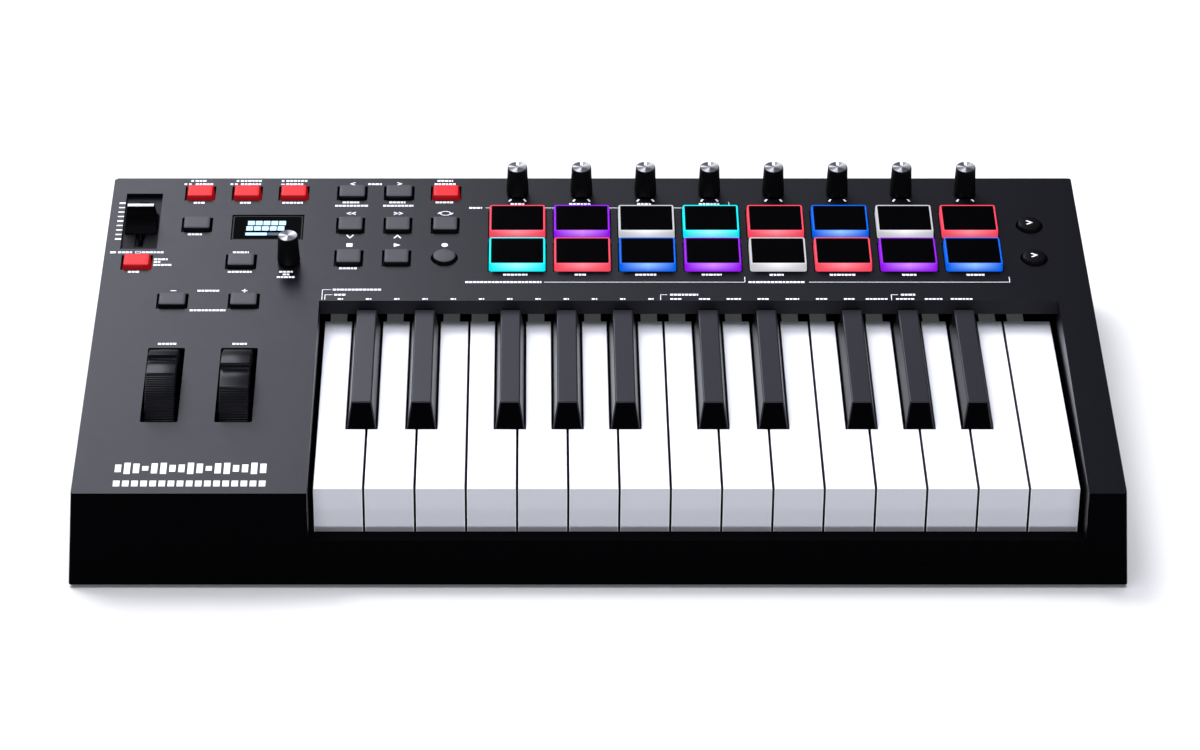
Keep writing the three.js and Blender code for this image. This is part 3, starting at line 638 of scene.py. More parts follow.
def top_shell():
    bm = clean_copy("top_panel")
    round_case_corners(bm)
    round_slot_corners(bm)
    rise = math.tan(PANEL_TILT)
    zero = PANEL.translation.z / MM
    fader = Vector((FADER_MARKS["x"] + 10.6, FADER_MARKS["middle"], zero))
    pocket_box = (fader - Vector((13, 22, 10)), fader + Vector((13, 22, 10)))

    def on_top_face(middle):
        return abs(middle.z - zero - rise * middle.y) < 0.05

    round_edges(bm, outer_edges(bm, on_top_face), 0.4, 3)
    for face in bm.faces:
        middle = face.calc_center_median()
        front = face.normal.y < -0.9 and middle.y < -100
        side = abs(face.normal.x) > 0.25 and abs(middle.x) > 240
        lip = middle.z < 27 and middle.y < -100
        fascia = face.normal.y < -0.9 and 20 < middle.y < 26
        # The fader pocket's sunk floor takes the duller copy, as painted shade in the recess.
        sunk = middle.z < zero + rise * middle.y - 0.5
        pocket = sunk and all(
            low - 1 < value < high + 1 for value, low, high in zip(middle, *pocket_box)
        )
        # Front, lip and outer side faces take the darker front copy, as painted shade.
        face.material_index = 1 if front or lip or side else 2 if fascia else 3 if pocket else 0
    materials = [PANEL_PLASTIC, SHADED_FRONT_PLASTIC, FASCIA_PLASTIC, SHADED_POCKET_PLASTIC]
    shell = piece_from(bm, "top_shell", "root", materials, replaces=["top_panel"])
    weigh_normals(shell)


def lower_tray():
    bm = clean_copy("bottom_case")
    round_case_corners(bm)
    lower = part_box("bottom_case")[0].z / MM
    for vertex in bm.verts:
        if vertex.co.z < lower + 0.5:
            vertex.co.z = lower + 0.5
    for face in bm.faces:
        wall = abs(face.normal.z) < 0.3 and face.calc_center_median().z < 20
        # The tray's low walls take the darker front copy, as painted shade.
        face.material_index = 1 if wall else 0
    materials = [CASE_PLASTIC, SHADED_FRONT_PLASTIC]
    tray = piece_from(bm, "lower_tray", "root", materials, replaces=["bottom_case"])
    weigh_normals(tray)


def foot(index, x, y):
    """A rubber foot over its boss: rounded edge, and a shallow dish underneath."""
    bm = bmesh.new()
    profile = ((0.6, 5.2), (0.15, 6.0), (0.0, 6.6), (0.0, 7.4), (0.25, 8.1), (0.8, 8.4), (2.0, 8.5))
    skin(bm, [circle(radius, z, 48, (x, y)) for z, radius in profile])
    piece_from(bm, numbered("foot", index), "root", [FOOT_RUBBER], sharp=60)


def case_screw(index, x, y):
    """A pan head screw with a cross recess, under the tray."""
    bm = bmesh.new()
    arm, waist, reach = 0.42, 0.42, 1.6
    cross = [
        (reach, -arm), (reach, arm), (waist, arm), (arm, reach), (-arm, reach), (-waist, arm),
        (-reach, arm), (-reach, -arm), (-waist, -arm), (-arm, -reach), (arm, -reach), (waist, -arm),
    ]
    count = len(cross)
    turn = 2 * math.pi / count
    start = math.atan2(cross[0][1], cross[0][0])
    around = [
        (math.cos(start + i * turn), math.sin(start + i * turn)) for i in range(count)
    ]
    loops = [[(x + 3.0 * c, y + 3.0 * s, z) for c, s in around] for z in (2.4, 1.7)]
    loops.append([(x + 2.6 * c, y + 2.6 * s, 1.3) for c, s in around])
    loops.append([(x + u, y + v, 1.2) for u, v in cross])
    loops.append([(x + 0.6 * u, y + 0.6 * v, 2.2) for u, v in cross])
    skin(bm, loops)
    piece_from(bm, numbered("case_screw", index), "root", [SCREW_STEEL])


def casing():
    top_shell()
    lower_tray()
    for index, (x, y) in enumerate(FEET):
        foot(index, x, y)
    for index, (x, y) in enumerate(CASE_SCREWS):
        case_screw(index, x, y)


# ---- Keys ----


def white_key(index):
    node = numbered("white_key", index)
    bm = clean_copy(node)
    low, high = (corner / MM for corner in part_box(node))
    top = high.z

    def near_top(middle):
        return middle.z > top - 0.1

    def front_corner(middle):
        return middle.y < low.y + 0.1 and middle.z > low.z + 2

    round_edges(bm, outer_edges(bm, near_top), 0.4, 3)
    # The rounded front corners take the painted edge highlight.
    corners = round_edges(bm, outer_edges(bm, front_corner), 0.55, 3)
    # The large flat sides take the grey painted shade.
    for face in bm.faces:
        flank = abs(face.normal.x) > 0.98 and face.calc_area() > 20
        face.material_index = 2 if face in corners else 1 if flank else 0
    materials = [GLOWING_WHITE_KEY, SHADED_KEY_FLANK, KEY_EDGE_HIGHLIGHT]
    key = piece_from(bm, f"{node}_cover", node, materials, replaces=[node], sharp=50)
    weigh_normals(key)


def black_key(index):
    node = numbered("black_key", index)
    bm = clean_copy(node)
    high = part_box(node)[1] / MM
    back = 20.0

    def on_cap(middle):
        return middle.z > high.z - 11.5 and middle.y < back

    brims = round_edges(bm, outer_edges(bm, on_cap, 12), 0.6, 4)
    # Faces that look up take the lighter copy as painted light; the rest the darker one as painted
    # shade.
    for face in bm.faces:
        satin = face.normal.z > 0.6 or (face in brims and face.normal.z > 0.2)
        face.material_index = 0 if satin else 1
    materials = [BLACK_KEY_SATIN_LIT, BLACK_KEY_SHADED]
    key = piece_from(bm, f"{node}_cover", node, materials, replaces=[node], sharp=50)
    weigh_normals(key)


# ---- Pads, buttons and knobs ----


def pad(index, colour):
    """A lit silicone block with a gloss film let into its top."""
    node = numbered("pad", index)
    place = standing_place(node)
    low, flange_top = MAT_HEIGHTS
    top = PAD_HEIGHT
    groove = [side + 0.5 for side in PAD_FILM]
    wide, deep = PAD_TOP
    bm = bmesh.new()
    rows = [
        (*PAD_FLANGE, 1.5, low),
        (*PAD_FLANGE, 1.5, flange_top),
        (*PAD_BASE, 1.3, flange_top),
        (PAD_BASE[0] - 0.4, PAD_BASE[1] - 0.4, 1.3, PAD_LIT_FROM),
        (wide + 0.1, deep + 0.1, 1.2, top - 0.6),
        (wide - 0.1, deep - 0.1, 1.1, top - 0.2),
        (wide - 0.5, deep - 0.5, 1.0, top - 0.03),
        (wide - 1.0, deep - 0.9, 0.9, top),
        (*groove, 0.6, top - 0.05),
        (*groove, 0.6, top - 0.5),
    ]
    stepped(bm, rows, [1, 1, 1, 0, 0, 0, 0, 0, 0])
    materials = [PAD_GLOW[colour], BLACK_SILICONE]
    lit_block = piece_from(bm, f"{node}_block", node, materials, place, [node], sharp=50)
    lit_block.visible_diffuse = False
    lit_block.visible_glossy = False

    film = bmesh.new()
    width, depth = PAD_FILM
    rows = [
        (width, depth, 0.5, top - 0.6),
        (width, depth, 0.5, top - 0.05),
        (width - 0.3, depth - 0.3, 0.4, top + 0.06),
        (width - 1.2, depth - 1.2, 0.3, top + 0.1),
        (width - 8, depth - 8, 0.3, top + 0.14),
    ]
    stepped(film, rows)
    piece_from(film, f"{node}_film", node, [PAD_FILM_BLACK], place)


def button(name, place, size, materials, shaded_bands=2):
    """A soft button on the control mat: leaning sides, a rounded brim and a slightly raised top."""
    bm = bmesh.new()
    width, depth = size
    reach = BUTTON_TAPER / (BUTTON_HEIGHT - MAT_HEIGHTS[0])

    def ring(z, extra=0.0, corner=0.9):
        inset = 2 * (reach * (z - MAT_HEIGHTS[0]) + extra)
        return rounded_rectangle(width - inset, depth - inset, corner, z)

    top = BUTTON_HEIGHT
    # The lowest bands take the second material, a darker one, as painted shade on the button's
    # sides.
    skin(
        bm,
        [
            ring(MAT_HEIGHTS[1] + 0.05),
            ring(top - 0.75),
            ring(top - 0.35, 0.08),
            ring(top - 0.15, 0.22, 0.8),
            ring(top - 0.04, 0.45, 0.7),
            ring(top, 1.8, 0.6),
        ],
        [1] * shaded_bands + [0] * (5 - shaded_bands),
    )
    piece_from(bm, name, "control_keypad", materials, on_panel(*place), sharp=60)


def round_button(name, place, materials, node):
    """A round soft button with a slightly domed top."""
    bm = bmesh.new()
    low, high = ROUND_BUTTON_RADII
    top = BUTTON_HEIGHT
    profile = (
        (MAT_HEIGHTS[1] + 0.05, low - 0.1),
        (top - 0.75, high + 0.15),
        (top - 0.45, high + 0.02),
        (top - 0.3, high - 0.25),
        (top - 0.15, high - 1.2),
        (top - 0.04, high - 2.6),
        (top, 1.2),
    )
    # The two lowest bands take the second material; on the grey record button it is black, as
    # painted shade.
    skin(bm, [circle(radius, z, 64) for z, radius in profile], [1, 1, 0, 0, 0, 0])
    piece_from(bm, name, node, materials, on_panel(*place), sharp=60)


def button_mat(node, name, material):
    """The sheet that carries the buttons: the CAD node pressed flat under the top face."""
    bm = on_the_panel(node)
    for vertex in bm.verts:
        vertex.co.z = min(vertex.co.z, MAT_HEIGHTS[1] + 0.04)
    piece_from(bm, name, node, [material], PANEL, [node])


def buttons():
    button_mat("control_keypad", "control_mat", DARK_SILICONE)
    button_mat("scene_keypad", "scene_mat", DARK_SILICONE)
    red = [RED_BUTTON_GLOW, RED_SHADED_SKIRT]
    # Grey buttons: black silicone on their sides as painted shade.
    grey = [GREY_SILICONE, BLACK_SILICONE]
    black = [BLACK_SILICONE] * 2
    for index, place in enumerate(RED_BUTTONS):
        name = numbered("red_button", index)
        button(name, place, BUTTON_SIZE, red, shaded_bands=4)
    sizes = [BUTTON_SIZE] * len(GREY_BUTTONS) + [TRANSPORT_SIZE] * len(TRANSPORT_BUTTONS)
    for index, (place, size) in enumerate(zip(GREY_BUTTONS + TRANSPORT_BUTTONS, sizes)):
        button(numbered("grey_button", index), place, size, grey)
    round_button("record_button", RECORD_BUTTON, grey, "control_keypad")
    arrow_heights = (BUTTON_HEIGHT - 0.3, BUTTON_HEIGHT + 0.03)
    for index, place in enumerate(SCENE_BUTTONS):
        name = numbered("scene_button", index)
        round_button(name, place, black, "scene_keypad")
        arrow = bmesh.new()
        chevron(arrow, 0, 0, 2.4, 1, 0.75, arrow_heights)
        where = on_panel(*place)
        piece_from(arrow, f"{name}_arrow", "scene_keypad", [PRINT_WHITE], where)


def fluted(radius, depth, z):
    """A closed loop round a fluted barrel."""
    steps = 6
    count = KNOB_FLUTES * steps
    points = []
    for i in range(count):
        angle = 2 * math.pi * i / count
        dip = 0.5 - 0.5 * math.cos(KNOB_FLUTES * angle)
        reach = radius - depth * dip**2
        points.append((reach * math.cos(angle), reach * math.sin(angle), z))
    return points


def knob(node, with_pointer):
    """A fluted knob with a turned metal disc, and a white pointer let into its edge."""
    place = standing_place(node)
    low, high = KNOB_RADII
    brim = KNOB_HEIGHT - 0.1
    bm = bmesh.new()
    profile = (
        (low - 0.5, 0, KNOB_FOOT),
        (low - 0.1, 0, KNOB_FOOT + 0.1),
        (low, 0, KNOB_FOOT + 0.5),
        (low - 0.02, 0, KNOB_FOOT + 1.3),
        (low - 0.1, 0.16, KNOB_FOOT + 2.0),
        (low - 0.45, 0.16, 9.0),
        (high, 0.14, brim - 0.9),
        (high - 0.05, 0, brim - 0.3),
        (high - 0.18, 0, brim - 0.05),
        (high - 0.3, 0, brim),
        (high - 0.38, 0, brim - 0.15),
    )
    skin(bm, [fluted(*station) for station in profile])
    piece_from(bm, f"{node}_barrel", node, [KNOB_PLASTIC], place, [node], sharp=50)

    disc = bmesh.new()
    rim = high - 0.4
    profile = (
        (brim - 0.4, rim),
        (brim - 0.02, rim),
        (brim + 0.1, rim - 0.14),
        (brim + 0.07, rim - 0.5),
        (brim + 0.03, 2.0),
        (brim + 0.02, 0.3),
    )
    skin(disc, [circle(radius, z, 72) for z, radius in profile])
    piece_from(disc, f"{node}_disc", node, [SPUN_SILVER], place, sharp=45)
    if with_pointer:
        pointer = bmesh.new()
        heights = (brim - 0.3, brim + 0.13)
        middle = (0, rim - 1.6)
        skin(pointer, [rounded_rectangle(1.35, 3.3, 0.3, z, 3, middle) for z in heights])
        piece_from(pointer, f"{node}_pointer", node, [PRINT_WHITE], place)


def fader_cap():
    """A cap that sweeps up to a narrow ridge, with two pale lines along it, on its stem."""
    place = standing_place("fader_cap")
    low, high = FADER_CAP_HEIGHTS
    wide, narrow = FADER_CAP_WIDTHS
    deep, thin = FADER_CAP_DEPTHS
    loops = []
    steps = 12
    for step in range(steps + 1):
        t = step / steps
        width = narrow + (wide - narrow) * (1 - t) ** 0.7
        depth = thin + (deep - thin) * (1 - t) ** 2.3
        z = low + (high - 0.35 - low) * t
        loops.append(rounded_rectangle(width, depth, min(0.8, 0.3 * depth), z))
    loops.append(rounded_rectangle(narrow - 0.2, thin - 0.2, 0.6, high - 0.15))
    loops.append(rounded_rectangle(narrow - 0.7, thin - 0.7, 0.4, high))
    bm = bmesh.new()
    skin(bm, loops)
    skin(bm, [rounded_rectangle(*FADER_STEM, 0.2, z, 2) for z in (FADER_STEM_FOOT, low + 0.3)])
    node = "fader_cap"
    piece_from(bm, "fader_cap_grip", node, [CAP_PLASTIC], place, [node], sharp=50)

    line = bmesh.new()
    heights = (high - 0.3, high + 0.1)
    for offset, breadth in RIDGE_LINES:
        skin(line, [rounded_rectangle(12.9, breadth, 0.15, z, 3, (0, offset)) for z in heights])
    piece_from(line, "fader_cap_line", node, [PRINT_WHITE], place)


# ---- Wheels ----

RIB_PITCH = 2.3  # degrees
RIB_SPAN = (-98.0, -15.4)
RIB_STEPS = 6


def rim_radius(angle):
    """The wheel's radius at an angle from the notch's middle; minus is towards the player."""
    outer = WHEEL_RADIUS
    if SCOOP_FOOT < angle < NOTCH_EDGE:
        reach = (NOTCH_EDGE - angle) / (NOTCH_EDGE - SCOOP_FOOT)
        return outer - NOTCH_DEPTH * math.sqrt(1 - (1 - reach) ** 2)
    if -NOTCH_EDGE < angle <= SCOOP_FOOT:
        climb = (SCOOP_FOOT - angle) / (SCOOP_FOOT + NOTCH_EDGE)
        ripple = 0.13 * math.sin(2 * math.pi * climb)
        return outer - NOTCH_DEPTH * (1 - climb**1.15) - 0.15 * climb + ripple
    if RIB_SPAN[0] < angle < RIB_SPAN[1]:
        wave = 0.5 + 0.5 * math.cos(2 * math.pi * (angle - RIB_SPAN[1]) / RIB_PITCH)
        return outer - 0.24 * (1 - wave**0.6)
    return outer


def rim_angles():
    """Angles round the rim, close together where the ribs and the notch are."""
    ribs = int((RIB_SPAN[1] - RIB_SPAN[0]) / RIB_PITCH * RIB_STEPS)
    angles = [RIB_SPAN[1] - i * RIB_PITCH / RIB_STEPS for i in range(ribs, 0, -1)]
    angles += [-15.0, -14.2, -13.5]
    angles += [-13.0 + 0.5 * i for i in range(52)]
    angles += [12.8, 13.1, 13.3, 13.42, 13.5, 14.2, 16]
    angles += [18 + 4 * i for i in range(61)]
    return angles


def wheel(node):
    """A thumb wheel with a ribbed front, a thumb notch and a dished hub, on its stub axles."""
    centre = Vector(JOINTS[WHEEL_JOINTS[node]]["pos_m"])
    place = Matrix.Translation(centre) @ Matrix.Rotation(PANEL_TILT, 4, "X")
    half = WHEEL_WIDTH / 2
    axle_end = half + 6
    bm = bmesh.new()
    side = [
        (axle_end, 2.6), (axle_end - 0.4, 3.0), (half, 3.0), (half, 6.0), (half - 1.2, 7.0),
        (half - 1.2, 23.5), (half, 24.5),
    ]
    loops = []
    for angle in rim_angles():
        radius = rim_radius(angle)
        rim = [(half, radius - 0.6), (half - 0.18, radius - 0.18), (half - 0.6, radius)]
        section = [(-x, r) for x, r in side + rim] + [(x, r) for x, r in (side + rim)[::-1]]
        turn = math.radians(angle + WHEEL_NOTCHES[node])
        loops.append([(x, r * math.sin(turn), r * math.cos(turn)) for x, r in section])
    rings = [[bm.verts.new(point) for point in loop] for loop in loops]
    for ring, following in zip(rings, rings[1:] + rings[:1]):
        for a, b, c, d in zip(ring, ring[1:], following[1:], following):
            bm.faces.new((a, b, c, d))
    bm.faces.new([ring[0] for ring in rings])
    bm.faces.new([ring[-1] for ring in rings])
    piece_from(bm, f"{node}_rim", node, [WHEEL_RUBBER], place, [node], sharp=34)


# ---- Display ----


def display():
    """The lens in its bevelled frame, with rows of lit blocks just under its face."""
    place = on_panel(*DISPLAY_PLACE)
    low, high = DISPLAY_HEIGHTS
    width, depth = DISPLAY_LENS
    bm = bmesh.new()
    rows = [
        (*DISPLAY_FLANGE, 1, low),
        (*DISPLAY_FLANGE, 1, low + 1),
        (width, depth, 0.9, low + 1),
        (width, depth, 0.9, high - 0.2),
        (width - 0.4, depth - 0.4, 0.8, high),
        (width - 1.6, depth - 1.6, 0.7, high),
        (width - 1.9, depth - 1.9, 0.6, high - 0.2),
        (width - 2.3, depth - 2.3, 0.6, high - 0.22),
    ]
    stepped(bm, rows, [1, 1, 1, 1, 1, 1, 0])
    materials = [LENS_BLACK, KNOB_PLASTIC]
    lens = piece_from(bm, "display_lens", "root", materials, place, sharp=30)
    weigh_normals(lens)

    def segments(name, xs, y, size, material):
        graphic = bmesh.new()
        for x in xs:
            outline = [(px + x, py + y) for px, py, _ in rounded_rectangle(*size, 0.25, 0, 2)]
            prism(graphic, outline, high - 0.3, high - 0.16)
        piece_from(graphic, name, "root", [material], place)

    pitch = 3.85
    rows = {"display_row_upper": (-8.2, 4.4), "display_row_lower": (-8.8, -0.2)}
    for name, (first, y) in rows.items():
        segments(name, [first + i * pitch for i in range(5)], y, (3.35, 3.6), DISPLAY_PIXELS)
    segments("display_bar", [-5.4], -5.0, (10.6, 2.3), DISPLAY_PIXELS)
    segments("display_bar_rest", [4.4], -5.0, (8.4, 2.3), DISPLAY_DIM_PIXELS)


# ---- Printed marks, as thin raised ink; words are rows of plain dashes ----

INK = (-0.02, 0.05)
WORD_HEIGHT = 1.4
DASHES = (1.6, 1.3, 1.8, 1.1, 1.5, 1.4)  # lengths, taken in turn
DASH_GAP = 0.36


def mark(bm, points, heights=INK):
    """A filled outline on the top face, at plan places."""
    prism(bm, [(x, up_slope(y)) for x, y in points], *heights)


def bar(bm, x, y, width, height, heights=INK):
    half_x, half_y = width / 2, height / 2
    corners = ((-half_x, -half_y), (half_x, -half_y), (half_x, half_y), (-half_x, half_y))
    mark(bm, [(x + u, y + v) for u, v in corners], heights)


def word(bm, left, right, y, height=WORD_HEIGHT):
    """A word's place, filled with plain dashes."""
    x, turn = left, 0
    while right - x > 0.5:
        length = min(DASHES[turn % len(DASHES)], right - x)
        bar(bm, x + length / 2, y, length, height)
        x += length + DASH_GAP
        turn += 1


def stroke(bm, points, width, heights=INK):
    """A line of bars through plan places."""
    for (x0, y0), (x1, y1) in zip(points, points[1:]):
        along = Vector((x1 - x0, y1 - y0)).normalized() * width / 2
        side = Vector((-along.y, along.x))
        start, end = Vector((x0, y0)) - along, Vector((x1, y1)) + along
        mark(bm, [start - side, end - side, end + side, start + side], heights)


def chevron(bm, x, y, size, direction, width=0.6, heights=INK):
    """A > mark, or a < mark where direction is -1."""
    tail, tip = x - direction * size / 2, x + direction * size / 2
    for side in (-1, 1):
        stroke(bm, [(tail, y + side * 0.55 * size), (tip, y)], width, heights)


def caret(bm, x, y, size, direction):
    """A ^ mark, or a v mark where direction is -1."""
    rise = 0.75 * direction * size
    stroke(bm, [(x - size, y - rise), (x, y + rise)], 0.7)
    stroke(bm, [(x, y + rise), (x + size, y - rise)], 0.7)


WORDS = {
    125.6: [(-198.8, -192.6), (-176.2, -165), (-153.4, -142.4), (-77.8, -70)],
    122.7: [(-198.6, -189), (-176, -166), (-153.4, -144.8), (-112.4, -104.9), (-79.2, -68.4)],
    106.4: [(-198.6, -192.6), (-175.6, -169.8), (-154.6, -144.4)],
    106.7: [(-124.6, -116.4), (-101.4, -93.4), (-78.4, -69)],
    103.8: [(-128.2, -111.6), (-104.4, -89.4)],
    105.3: [(-41.1, -34.3), (-12, -0.9), (21.7, 29), (52.4, 62.5)],
    101.9: [(-61.6, -55.3)],
    79.1: [(-199.8, -192.2)],
    63.8: [(-233, -225.8), (-221.3, -210.6), (-176.8, -169)],
    57.9: [(-215, -208.4)],
    55.7: [(-215, -211.8)],
    53.2: [(-215, -205.8)],
    50.3: [(-124.4, -115.8)],
    47.4: [(-227, -221), (-178.4, -166.8), (-153.4, -146.8)],
    45.2: [(-151.6, -148.4)],
    43.0: [(-154.4, -145.8)],
    45.0: [(-44.5, -32.7), (-9.7, -4.1), (19.7, 29.9), (52, 61.7)],
    44.9: [(85, 92), (114.2, 127.2), (149.4, 156.5), (180.7, 189.4)],
    38.8: [(-62.8, -25.9), (74.5, 102.4)],
    32.6: [(-126.8, -103)],
    31.7: [(-192.2, -181)],
    28.4: [(-126, -120), (36.2, 49.8), (147.7, 155.4)],
    15.6: [(-195, -177.8)],
    -11.5: [(-208.4, -199.6), (-173, -165.7)],
}
TINY_WORDS = [
    (36.2, 41.6), (50.1, 55.4), (63.4, 70.7), (78.3, 84), (91.9, 98.4), (106.5, 111.9),
    (120, 125.1), (130.5, 141.2), (145.1, 154.2), (159, 167.5), (171.5, 182.3),
]
TINY_WORD_Y = 24.9
NOTE_NAMES_X = [-122.9 + 13.62 * i for i in range(12)]
DOT_PLACES = [(x, 125.6) for x in (-200.3, -177.6, -155)]
PAIR_PLACES = [(x, 122.7) for x in (-202.4, -179.4)]
BRACKETS = [
    [(-131.8, 24.4), (-131.8, 32.6), (-127.8, 32.6)],
    [(-130.4, 24.4), (-130.4, 28.4), (-127, 28.4)],
    [(31.6, 24.2), (31.6, 28.4), (34.7, 28.4)],
    [(143, 24.2), (143, 28.4), (146.2, 28.4)],
    [(-53.4, 101.9), (67.3, 101.9), (67.3, 106.8)],
    [(-24.5, 38.8), (72.8, 38.8), (72.8, 43)],
    [(104, 38.8), (201.2, 38.8), (201.2, 43)],
]
FADER_MARKS = {"x": -233.9, "middle": 90.6, "pitch": 3.86, "each_side": 4}
WAVE_MARK = {"left": -220.2, "right": -153.6, "y": -107.5, "height": 8.4, "bars": 17}


def words(bm):
    for y, spans in WORDS.items():
        for left, right in spans:
            word(bm, left, right, y)
    for left, right in TINY_WORDS:
        word(bm, left, right, TINY_WORD_Y, 1.1)
    for x in NOTE_NAMES_X:
        word(bm, x - 1.3, x + 1.3, TINY_WORD_Y, 1.1)
    for x, y in DOT_PLACES:
        bar(bm, x, y, 1.3, 1.3)
    for x, y in PAIR_PLACES:
        for offset in (-1.1, 1.1):
            bar(bm, x + offset, y, 1.3, 1.3)
    bar(bm, -155, 122.7, 1.8, 0.8)


def transport_symbols(bm):
    left, middle, right = RIGHT_COLUMNS_X
    for x, direction in ((left, -1), (middle, 1)):
        chevron(bm, x, 123.0, 2.0, direction)
        chevron(bm, x - 1.2, 97.2, 1.6, direction)
        chevron(bm, x + 1.2, 97.2, 1.6, direction)
    caret(bm, left, 77.2, 1.5, -1)
    caret(bm, middle, 77.2, 1.5, 1)
    bar(bm, left, 70, 3, 3)
    mark(bm, [(middle - 1.6, 68.4), (middle + 1.7, 70), (middle - 1.6, 71.6)])
    mark(bm, [(x + right, y + 70) for x, y, _ in circle(1.6, 0, 24)])
    for side in (-1, 1):
        arc = [math.radians(side * 90 + turn) for turn in (-62, -31, 0, 31, 62)]
        stroke(bm, [(right + 2.6 * math.cos(a), 97.2 + 1.7 * math.sin(a)) for a in arc], 0.5)
        x, y = right + side * 2.9, 97.2 - side * 0.3
        mark(bm, [(x - 1.1, y + side * 0.6), (x + 1.1, y + side * 0.6), (x, y - side * 0.9)])


def edge_symbols(bm):
    """The plus and minus over the octave buttons, and the two squares over the preset button."""
    bar(bm, -203.8, 31.7, 2.8, 0.6)
    bar(bm, -169.4, 31.7, 2.8, 0.6)
    bar(bm, -169.4, 31.7, 0.6, 2.8)
    bar(bm, -235.5, 63.8, 2.8, 1.5)
    corners = [(-224.5, 63.1), (-221.9, 63.1), (-221.9, 64.5), (-224.5, 64.5), (-224.5, 63.1)]
    stroke(bm, corners, 0.35)


def scales(bm):
    """The marks beside the fader, and the two marks at the foot of each knob."""
    reach = FADER_MARKS["each_side"]
    for step in range(-reach, reach + 1):
        height = 1.25 if step % reach == 0 else 0.85
        y = FADER_MARKS["middle"] + step * FADER_MARKS["pitch"]
        bar(bm, FADER_MARKS["x"], y, 3.0, height)
    for index in range(KNOB_COUNT):
        low, high = panel_box(numbered("knob", index))
        x = (low.x + high.x) / 2
        for side in (-1, 1):
            stroke(bm, [(x + side * 3.4, 109.0), (x + side * 4.0, 107.9)], 0.9)


def wave_mark(bm):
    """A plain sound wave of upright bars, over a row of blocks."""
    count = WAVE_MARK["bars"]
    pitch = (WAVE_MARK["right"] - WAVE_MARK["left"]) / (count - 1)
    for i in range(count):
        x = WAVE_MARK["left"] + i * pitch
        swing = abs(math.sin(0.9 * i + 0.5))
        bar(bm, x, WAVE_MARK["y"], 0.68 * pitch, WAVE_MARK["height"] * (0.35 + 0.65 * swing))
        bar(bm, x, WAVE_MARK["y"] - 11.2, 0.72 * pitch, 4.2)


def print_marks():
    for name, draw in (
        ("printed_words", words),
        ("transport_symbols", transport_symbols),
        ("edge_symbols", edge_symbols),
        ("printed_scales", scales),
        ("wave_mark", wave_mark),
    ):
        bm = bmesh.new()
        draw(bm)
        piece_from(bm, name, "root", [PRINT_WHITE], PANEL)
    bm = bmesh.new()
    for points in BRACKETS:
        stroke(bm, points, 0.32)
    piece_from(bm, "printed_brackets", "root", [PRINT_WHITE], PANEL)


# ---- Inside and back ----


def inside_board():
    """The circuit board with its parts. The display's lens is a piece of its own."""
    bm = on_the_panel("panel_board")
    display_x, display_y = DISPLAY_PLACE
    reach_x, reach_y = (side / 2 + 0.5 for side in DISPLAY_FLANGE)
    for vertex in bm.verts:
        x, y, z = vertex.co
        if abs(x - display_x) < reach_x and abs(y - up_slope(display_y)) < reach_y:
            vertex.co.z = min(z, DISPLAY_HEIGHTS[0] - 0.1)
    for face in bm.faces:
        height = face.calc_center_median().z
        if height > -4.4:
            face.material_index = 1
        elif height > -10.9:
            face.material_index = 2
    materials = [BOARD_GREEN, NICKEL, SOCKET_PLASTIC]
    piece_from(bm, "inside_board", "root", materials, PANEL, ["panel_board"])


def socket_plate():
    """The plate that carries the rear sockets, with eased edges round its rim and mouths."""
    bm = clean_copy("rear_sockets")

    def on_face(middle):
        return middle.y > SOCKET_FACE_Y - 0.1

    round_edges(bm, outer_edges(bm, on_face, 60), 0.3, 2)
    plate = piece_from(
        bm, "socket_plate", "root", [SOCKET_PLASTIC], replaces=["rear_sockets"]
    )
    weigh_normals(plate)


def ring(bm, x, radii, depth, count=48):
    """A flat ring round a socket's mouth on the back, from its outer to its inner radius."""
    outer, inner = radii
    face = SOCKET_FACE_Y
    bevel = 0.3
    stations = [
        (outer, face - 0.5), (outer, face + depth - bevel), (outer - bevel, face + depth),
        (inner + bevel, face + depth), (inner, face + depth - bevel), (inner, face - 0.5),
    ]
    rings = []
    for radius, y in stations:
        around = circle(radius, 0, count, (x, SOCKET_Z))
        rings.append([bm.verts.new((px, y, pz)) for px, pz, _ in around])
    for first, second in zip(rings, rings[1:] + rings[:1]):
        for i in range(count):
            j = (i + 1) % count
            bm.faces.new((first[i], first[j], second[j], second[i]))


def block(bm, x, y, z):
    """A small block with eased edges."""
    corners = [bm.verts.new((x[i], y[j], z[k])) for i in (0, 1) for j in (0, 1) for k in (0, 1)]
    sides = ((0, 1, 3, 2), (4, 6, 7, 5), (0, 4, 5, 1), (2, 3, 7, 6), (0, 2, 6, 4), (1, 5, 7, 3))
    faces = [bm.faces.new([corners[i] for i in side]) for side in sides]
    edges = {edge for face in faces for edge in face.edges}
    least = min(abs(high - low) for low, high in (x, y, z))
    bmesh.ops.bevel(
        bm, geom=list(edges), offset=0.12 * least, segments=2, profile=0.5, affect="EDGES"
    )


